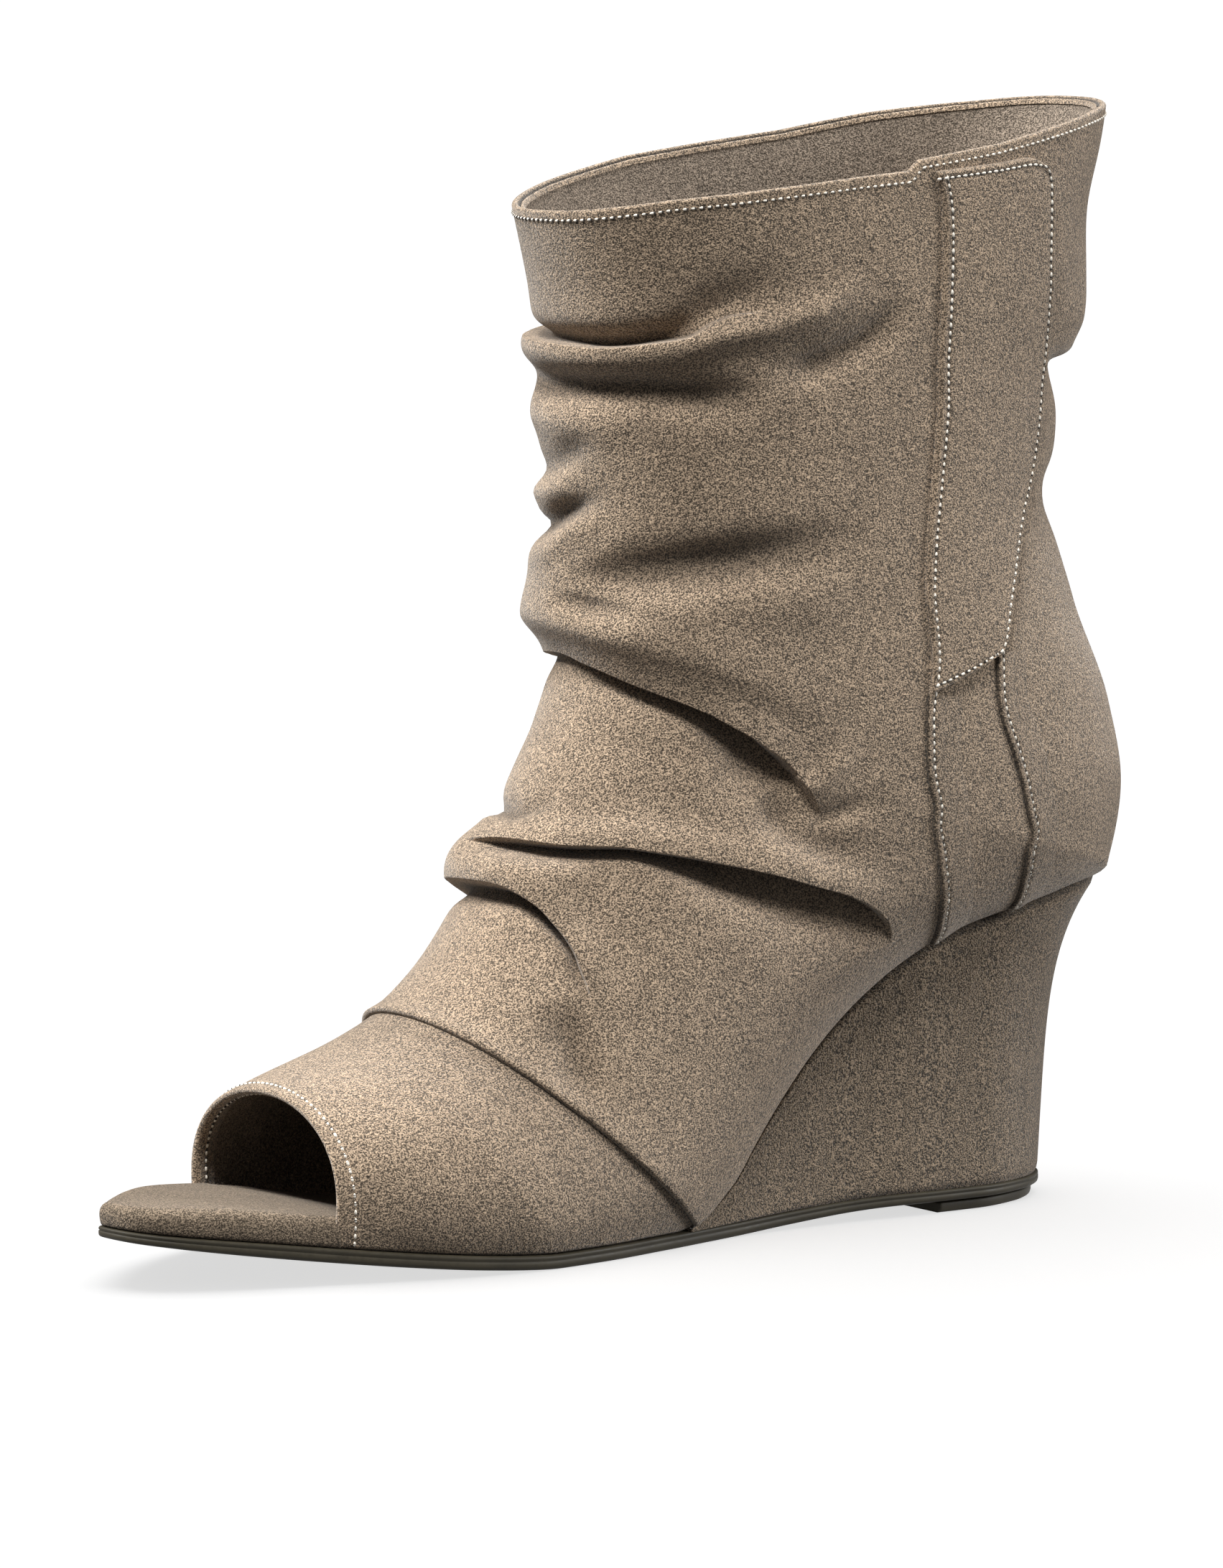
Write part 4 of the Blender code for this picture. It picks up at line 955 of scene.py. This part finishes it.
def makeWedge():
    back = wedgeSize["back"]
    ahead, behind = wedgeSize["columns"]
    share = np.concatenate((np.linspace(wedgeSize["front"], back, ahead), turnShares(back, 1.0, behind)[1:]))
    along, inner, outer = planEdges(share, wedgeSize["margin"], 0.0)
    foot = treadTop(along) - wedgeSize["clear"]
    top = featherHeight(along + seatShift(share))
    rows = []
    tones = []
    ends = ([0.0, 0.004, 0.012], [0.975, 0.988, 0.996, 1.0])
    for level in np.concatenate((ends[0], np.linspace(0.03, 0.96, 40), ends[1])):
        flare = 0.25 * level + 0.75 * level ** 5
        place = along + flare * seatShift(share)
        up = foot + level * (top - foot)
        away = np.minimum(1.0, (top - foot) / 0.02)
        inset = wedgeSize["footInset"] * (1.0 - smoothStep(0.0, 0.02, level))
        inset = inset + wedgeSize["topInset"] * smoothStep(0.955, 1.0, level)
        belly = -wedgeSize["belly"] * np.sin(np.pi * level) * away
        shift = np.clip(inset + belly, 0.0, 0.002)
        rows.append((np.stack((place, inner - shift, up), 1), np.stack((place, outer + shift, up), 1)))
        # painted shade along the wedge's top, under the upper's edge
        tones.append(1.0 if level < 0.97 else 0.5)
    piece = walledPiece("wedge_cover", rows, wedgeSuede, tones, 8)
    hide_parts("wedge")


def insoleMargin(share):
    # open at the toe, then inside the upper's wall and its lining
    wide = upperMargin + wallThickness + 0.0004 + 0.0009
    return insoleSize["margin"] + smoothStep(0.176, 0.186, share) * (wide - insoleSize["margin"])


def makeInsole():
    front, middle, back = insoleSize["columns"]
    opening = np.linspace(insoleSize["open"], insoleSize["closed"], middle)[1:]
    behind = turnShares(insoleSize["closed"] + 0.002, 1.0, back)
    share = np.concatenate((turnShares(0.0, insoleSize["open"], front), opening, behind))
    margin = insoleMargin(share)
    rows = []
    for part in np.linspace(0.0, 1.0, 13):
        angle = np.pi * (part - 0.5)
        inset = insoleSize["topInset" if angle > 0.0 else "underInset"] * (1.0 - np.cos(angle))

        def height(along, part=part, angle=angle):
            thick = eased((0.0, 0.10, 0.18, 0.32), (0.0044, 0.0060, 0.0060, 0.0032), along / soleLength)
            rise = 0.5 + 0.5 * np.sin(angle)
            return featherHeight(along) + 0.0002 + rise * (thick + 0.0003)

        rows.append(edgeRow(share, margin + inset, 1.0, height))
    # painted shade on the three lowest rows of the rounded edge
    piece = walledPiece("insole_wrapped", rows, insoleSuede, [0.8] * 3 + [1.0] * 10, 16)
    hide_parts("insole")


makeOutsole()
makeHeelLift()
makeWedge()
makeInsole()
print("sole made")

# overlay on the inner side of the shaft, in metres
flapSize = {
    "thick": 0.0013,
    "round": 0.0007,
    "long": 0.112,
    "wide": 0.026,
    "corner": 0.0080,
    "turnLength": 0.120,
    "climbLength": 0.270,
    "base": 0.0010,
    "channel": 0.00022,
    "edgeSteps": (0.0, 0.00008, 0.0002, 0.0004, 0.0007, 0.0010, 0.0013, 0.0016, 0.0019, 0.0023, 0.0028),
    "rows": 110,
    "columns": 34,
}
stitchInset = 0.0016
flapFront = (
    (0.521, 0.991), (0.532, 0.958), (0.536, 0.905), (0.547, 0.853), (0.556, 0.805), (0.549, 0.734),
    (0.529, 0.673), (0.507, 0.612), (0.484, 0.546),
)
flapBack = (
    (0.722, 0.986), (0.724, 0.966), (0.734, 0.92), (0.752, 0.883), (0.773, 0.845), (0.779, 0.808),
    (0.771, 0.769), (0.748, 0.732), (0.709, 0.682), (0.671, 0.638), (0.636, 0.605), (0.614, 0.592),
)


def evenLine(nodes, shares):
    # places around and stations at shares of the line's length over the skin
    line, run = measuredLine(nodes)
    return np.interp(shares * run[-1], run, line[:, 0]), np.interp(shares * run[-1], run, line[:, 1])


def flapPlace(down, across):
    # place around, station and distance from the edge on the overlay, its upper back corner rounded
    frontPlace, frontStation = evenLine(flapFront, down)
    backPlace, backStation = evenLine(flapBack, down)
    around = frontPlace * (1.0 - across) + backPlace * across
    station = frontStation * (1.0 - across) + backStation * across
    fromBack = (1.0 - across) * flapSize["wide"]
    fromTop = down * flapSize["long"]
    radius = flapSize["corner"]
    x = np.clip(1.0 - fromBack / radius, 0.0, 1.0)
    y = np.clip(1.0 - fromTop / radius, 0.0, 1.0)
    roundX = x * np.sqrt(1.0 - y * y / 2.0)
    roundY = y * np.sqrt(1.0 - x * x / 2.0)
    around = around - (x - roundX) * radius / flapSize["turnLength"]
    station = station - (y - roundY) * radius / flapSize["climbLength"]
    nearSide = np.minimum(across, 1.0 - across) * flapSize["wide"]
    edge = np.minimum(nearSide, np.minimum(down, 1.0 - down) * flapSize["long"])
    both = (x > 0.0) & (y > 0.0)
    edge = np.where(both, np.minimum(edge, radius * (1.0 - np.hypot(roundX, roundY))), edge)
    return around, station, np.maximum(edge, 0.0)


def edgeShares(length, middle):
    # shares of a length with steps in metres near both ends
    near = np.array(flapSize["edgeSteps"]) / length
    inside = np.linspace(near[-1], 1.0 - near[-1], middle)[1:-1]
    return np.concatenate((near, inside, 1.0 - near[::-1]))


def flapProfile(distance):
    # rounded edge and a shallow stitch channel
    share = np.clip(distance / flapSize["round"], 0.0, 1.0)
    rounding = np.sqrt(np.clip(1.0 - (1.0 - share) ** 2, 0.0, 1.0))
    channel = flapSize["channel"] * np.exp(-(((distance - stitchInset) / 0.00045) ** 2))
    return flapSize["thick"] * rounding - channel


def makeFlap():
    down = edgeShares(flapSize["long"], flapSize["rows"])
    across = edgeShares(flapSize["wide"], flapSize["columns"])
    around, station, edge = flapPlace(*gridPlaces(down, across))
    points = raisedSkin(station, around, flapSize["base"] + flapProfile(edge), underOverlay)
    skirt = raisedSkin(station, around, 0.0, underOverlay)
    count = len(across)
    total = len(down) * count
    faces = gridFaces(len(down), count)
    everything = np.concatenate((points, skirt))
    # the edge's wall, down to the skin
    index = np.arange(total).reshape(len(down), count)
    for line in (index[:, 0], index[:, -1], index[0], index[-1]):
        for a, b in zip(line[:-1].tolist(), line[1:].tolist()):
            faces.append((a, b, total + b, total + a))
    # painted shade on the edge's wall, and a line of painted shade in the stitch channel on top
    paintedLight = np.full(2 * total, 0.5)
    paintedLight[:total] = 1.0 - 0.30 * np.exp(-(((edge - stitchInset) / 0.0004) ** 2))
    piece = meshPiece("side_overlay", everything, faces, shaftSuede, {"paintedLight": paintedLight})
    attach(piece, "root")
    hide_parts("side_flap")


makeFlap()
print("overlay made")

# seams below the overlay and their lapped edges
frontSeam = (
    (0.484, 0.55), (0.475, 0.523), (0.476, 0.5), (0.492, 0.471), (0.554, 0.436), (0.611, 0.414),
    (0.674, 0.394), (0.726, 0.381), (0.784, 0.367), (0.848, 0.351), (0.929, 0.335), (0.99, 0.324),
)
backSeam = (
    (0.612, 0.596), (0.6, 0.569), (0.596, 0.548), (0.6, 0.533), (0.608, 0.52), (0.618, 0.507),
    (0.63, 0.494), (0.646, 0.479), (0.662, 0.465), (0.694, 0.449), (0.783, 0.415), (0.856, 0.394),
    (0.94, 0.376), (0.99, 0.364),
)
lapProfile = (
    (-0.0003, -0.0003), (-0.0001, 0.0003), (0.0, 0.0006), (0.0003, 0.00085), (0.0008, 0.0009),
    (0.0013, 0.00078), (0.0016, 0.0006), (0.0019, 0.00078), (0.0026, 0.0008), (0.004, 0.00058),
    (0.0056, 0.00038), (0.0074, 0.0002), (0.0092, 0.00004), (0.0104, -0.0003),
)


def evened(values, wide):
    # moving average along the first axis that keeps the ends
    padded = np.pad(values, ((wide, wide), (0, 0)), mode="edge")
    weight = np.hanning(2 * wide + 3)[1:-1]
    weight /= weight.sum()
    return np.stack([np.convolve(padded[:, k], weight, "valid") for k in range(values.shape[1])], 1)


def overShaft(points, height):
    # points dropped on the shaft's surface and raised from it
    places = []
    normals = []
    for point in points:
        place, normal, index, gap = shaftSurface.find_nearest(Vector(point))
        outward = Vector((0.0, point[1], 0.0))
        places.append(place)
        normals.append(normal if normal.dot(outward) > 0.0 else -normal)
    return np.array(places) + unit(evened(np.array(normals), 3)) * height


def seamPoints(nodes, distance, height):
    # a run beside a seam line, at a distance behind it and a height over the shaft
    places, stations = lineRail(nodes)
    line = evened(foldedSkin(stations, wrapped(places)), 5)
    base = overShaft(line, 0.0)
    normal = evened(overShaft(line, 1.0) - base, 6)
    aside = unit(evened(np.cross(np.gradient(line, axis=0), normal), 8))
    backward = np.sign(aside[:, 0].sum())
    return overShaft(base + aside * backward * distance, height)


def makeLap(name, nodes):
    # a raised seam edge that sinks back into the skin behind it
    strips = []
    tones = []
    for distance, height in lapProfile:
        strips.append(seamPoints(nodes, distance, height))
        # painted shadow along the front edge, painted shade in the stitch channel, the rest a little darker
        tones.append(0.30 if distance < 0.0002 else 0.60 if abs(distance - stitchInset) < 0.0001 else 0.90)
    count = len(strips[0])
    values = {"paintedLight": np.repeat(np.array(tones), count)}
    piece = meshPiece(name, np.concatenate(strips), gridFaces(len(strips), count), shaftSuede, values)
    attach(piece, "root")


makeLap("seam_front", frontSeam)
makeLap("seam_back", backSeam)
print("seams made")

# white stitches along the edges
stitchSize = {
    "pitch": 0.0017,
    "long": 0.00118,
    "thick": 0.00056,
    "holeLong": 0.00062,
    "holeThick": 0.00056,
}


def stitchTree():
    tree = bpy.data.node_groups.new("stitch_run", "GeometryNodeTree")
    inputs = (("Geometry", "Geometry"), ("Pitch", "Float"), ("Long", "Float"), ("Thick", "Float"),
              ("Thread", "Material"))
    for name, kind in inputs:
        tree.interface.new_socket(name, in_out="INPUT", socket_type="NodeSocket" + kind)
    tree.interface.new_socket("Geometry", in_out="OUTPUT", socket_type="NodeSocketGeometry")
    kinds = {
        "start": "NodeGroupInput",
        "end": "NodeGroupOutput",
        "curve": "GeometryNodeMeshToCurve",
        "resample": "GeometryNodeResampleCurve",
        "tangent": "GeometryNodeInputTangent",
        "align": "FunctionNodeAlignEulerToVector",
        "ball": "GeometryNodeMeshUVSphere",
        "size": "ShaderNodeCombineXYZ",
        "place": "GeometryNodeInstanceOnPoints",
        "wobble": "FunctionNodeRandomValue",
        "scaled": "ShaderNodeVectorMath",
        "realize": "GeometryNodeRealizeInstances",
        "paint": "GeometryNodeSetMaterial",
    }
    nodes = {key: tree.nodes.new(kind) for key, kind in kinds.items()}
    nodes["resample"].mode = "LENGTH"
    nodes["align"].axis = "X"
    nodes["wobble"].data_type = "FLOAT"
    nodes["scaled"].operation = "SCALE"
    setInputs(nodes["ball"], {"Segments": 8, "Rings": 5, "Radius": 0.5})
    # lowest and highest share of a stitch's size
    setInputs(nodes["wobble"], {2: 0.88, 3: 1.10, "Seed": 7})
    joins = (
        ("start", "Geometry", "curve", "Mesh"), ("curve", "Curve", "resample", "Curve"),
        ("start", "Pitch", "resample", "Length"), ("resample", "Curve", "place", "Points"),
        ("ball", "Mesh", "place", "Instance"), ("tangent", "Tangent", "align", "Vector"),
        ("align", "Rotation", "place", "Rotation"), ("start", "Long", "size", "X"),
        ("start", "Thick", "size", "Y"), ("start", "Thick", "size", "Z"),
        ("size", "Vector", "scaled", 0), ("wobble", 1, "scaled", "Scale"),
        ("scaled", "Vector", "place", "Scale"), ("place", "Instances", "realize", "Geometry"),
        ("realize", "Geometry", "paint", "Geometry"), ("start", "Thread", "paint", "Material"),
        ("paint", "Geometry", "end", "Geometry"),
    )
    for source, output, target, entry in joins:
        tree.links.new(nodes[source].outputs[output], nodes[target].inputs[entry])
    return tree


stitchGroup = stitchTree()


def trimmed(points, distance):
    # the same path, begun a little later
    run = pathLength(points)
    first = [np.interp(distance, run, points[:, k]) for k in range(3)]
    return np.vstack((first, points[run > distance]))


def makeStitches(name, points):
    threadRun(name, points, stitchSize["long"], stitchSize["thick"], whiteThread)
    # dark beads between the white stitches, painted shade in the holes
    holes = trimmed(points, stitchSize["pitch"] / 2.0)
    threadRun(name + "_holes", holes, stitchSize["holeLong"], stitchSize["holeThick"], holeShade)


def threadRun(name, points, long, thick, material):
    mesh = bpy.data.meshes.new(name + "_path")
    edges = [(k, k + 1) for k in range(len(points) - 1)]
    mesh.from_pydata(toRow(points).tolist(), edges, [])
    path = addObject(name + "_path", mesh)
    modifier = path.modifiers.new("stitches", "NODES")
    modifier.node_group = stitchGroup
    values = {"Pitch": stitchSize["pitch"], "Long": long, "Thick": thick, "Thread": material}
    for item in stitchGroup.interface.items_tree:
        if item.in_out == "INPUT" and item.name in values:
            modifier[item.identifier] = values[item.name]
    graph = bpy.context.evaluated_depsgraph_get()
    made = bpy.data.meshes.new_from_object(path.evaluated_get(graph))
    bpy.data.objects.remove(path, do_unlink=True)
    for polygon in made.polygons:
        polygon.use_smooth = True
    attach(addObject(name, made), "root")


def flapRun(downs, acrosses, height):
    around, station, edge = flapPlace(np.asarray(downs, float), np.asarray(acrosses, float))
    return raisedSkin(station, around, height, underOverlay)


# heights of the threads over the skin under them, in metres
threadHeight = {"seam": 0.00068, "overlay": -0.00012, "collar": 0.0001, "toe": 0.00005, "toeInside": -0.0021}
makeStitches("stitches_front_seam", seamPoints(frontSeam, stitchInset, threadHeight["seam"]))
makeStitches("stitches_back_seam", seamPoints(backSeam, stitchInset, threadHeight["seam"]))
inset = stitchInset / flapSize["wide"]
drop = stitchInset / flapSize["long"]
flapTop = flapSize["base"] + flapSize["thick"] + threadHeight["overlay"]
sideDown = np.linspace(drop, 1.0 - drop, 240)
sideAcross = np.linspace(inset, 1.0 - inset, 120)
makeStitches("stitches_overlay_front", flapRun(sideDown, np.full(240, inset), flapTop))
makeStitches("stitches_overlay_foot", flapRun(np.full(120, 1.0 - drop), sideAcross, flapTop))
# across the top, then down the back edge
cornerDown = np.concatenate((np.full(60, drop), sideDown[1:]))
cornerAcross = np.concatenate((np.linspace(0.0, 1.0 - inset, 60), np.full(239, 1.0 - inset)))
makeStitches("stitches_overlay_back", flapRun(cornerDown, cornerAcross, flapTop))
ring = np.linspace(-1.0, 1.0, 520)
collarStations = 1.0 - 0.0014 / np.where(np.abs(ring) < 0.5, 0.20, 0.30)
makeStitches("stitches_collar", raisedSkin(collarStations, ring, seamStep + threadHeight["collar"]))
toeRing = np.linspace(-0.985, 0.985, 260)
makeStitches("stitches_toe_opening", raisedSkin(np.full(260, 0.0085), toeRing, threadHeight["toe"]))
innerRing = np.linspace(-0.97, -0.10, 120)
makeStitches("stitches_toe_inside", raisedSkin(np.full(120, 0.0060), innerRing, threadHeight["toeInside"]))
print("stitches made")

# plain pale floor, soft light and the camera at the photograph's angle
floorMesh = bpy.data.meshes.new("floor")
reach = 30.0
corners = [(-reach, -reach, 0.0), (reach, -reach, 0.0), (reach, reach, 0.0), (-reach, reach, 0.0)]
floorMesh.from_pydata(corners, [], [(0, 1, 2, 3)])
floor = addObject("floor", floorMesh)
white = (1.0, 1.0, 1.0, 1.0)
floorMaterial, floorTree, floorShader = newMaterial("floor_pale")
setInputs(floorShader, {"Base Color": (0.80, 0.80, 0.80, 1.0), "Roughness": 0.9, "Specular IOR Level": 0.1})
setInputs(floorShader, {"Emission Color": white, "Emission Strength": 0.66})
floorMesh.materials.append(floorMaterial)
# the floor stays pale without lighting the folds from below
floor.visible_diffuse = False

world = bpy.data.worlds.new("studio")
bpy.context.scene.world = world
world.use_nodes = True
# a weak white fill light, and plain white where the camera looks past the floor
backdrop = world.node_tree.nodes["Background"]
setInputs(backdrop, {"Color": white})
viewRay = world.node_tree.nodes.new("ShaderNodeLightPath").outputs["Is Camera Ray"]
fill = spread(world.node_tree, viewRay, 0.0, 1.0, 0.15, 1.0)
world.node_tree.links.new(fill, backdrop.inputs["Strength"])

lit = bpy.data.collections.new("lit_by_side_lights")
for item in bpy.context.scene.objects:
    if item.type == "MESH" and item is not floor:
        lit.objects.link(item)


def addSun(name, azimuth, elevation, strength, angle, aside=True):
    # azimuth in degrees: 0 on the near side, 90 ahead of the toe, 270 behind the heel
    light = bpy.data.lights.new(name, "SUN")
    light.energy = strength
    light.angle = math.radians(angle)
    lamp = addObject(name, light)
    a = math.radians(azimuth)
    e = math.radians(elevation)
    source = Vector((-math.sin(a) * math.cos(e), -math.cos(a) * math.cos(e), math.sin(e)))
    lamp.rotation_euler = source.to_track_quat("Z", "Y").to_euler()
    if aside:
        # side lights fall on the boot only, so the pale floor keeps just its soft top shadow
        lamp.light_linking.receiver_collection = lit


addSun("top", 200.0, 80.0, 1.1, 60.0, False)
addSun("key", 130.0, 42.0, 4.0, 16.0)
addSun("front", 54.0, 57.0, 3.75, 20.0)
addSun("rim", 300.0, 24.0, 2.6, 25.0)

# focal length and height in pixels of the photograph, angles in degrees, lengths in metres
cameraSize = {
    "distance": 1.800,
    "azimuth": 34.0,
    "elevation": 6.2,
    "focal": 11934.0,
    "high": 2184.0,
    "aimX": -0.0843,
    "aimZ": 0.0943,
}
cameraData = bpy.data.cameras.new("camera")
cameraData.sensor_fit = "AUTO"
cameraData.sensor_width = 36.0
cameraData.lens = cameraSize["focal"] * 36.0 / cameraSize["high"]
cameraData.clip_end = 100.0
camera = addObject("camera", cameraData)
azimuth = math.radians(cameraSize["azimuth"])
elevation = math.radians(cameraSize["elevation"])
aim = Vector((cameraSize["aimX"], 0.0, cameraSize["aimZ"]))
level = math.cos(elevation)
away = Vector((-math.sin(azimuth) * level, -math.cos(azimuth) * level, math.sin(elevation)))
camera.location = aim + away * cameraSize["distance"]
camera.rotation_euler = away.to_track_quat("Z", "Y").to_euler()
bpy.context.scene.camera = camera
bpy.context.scene.view_settings.view_transform = "Standard"
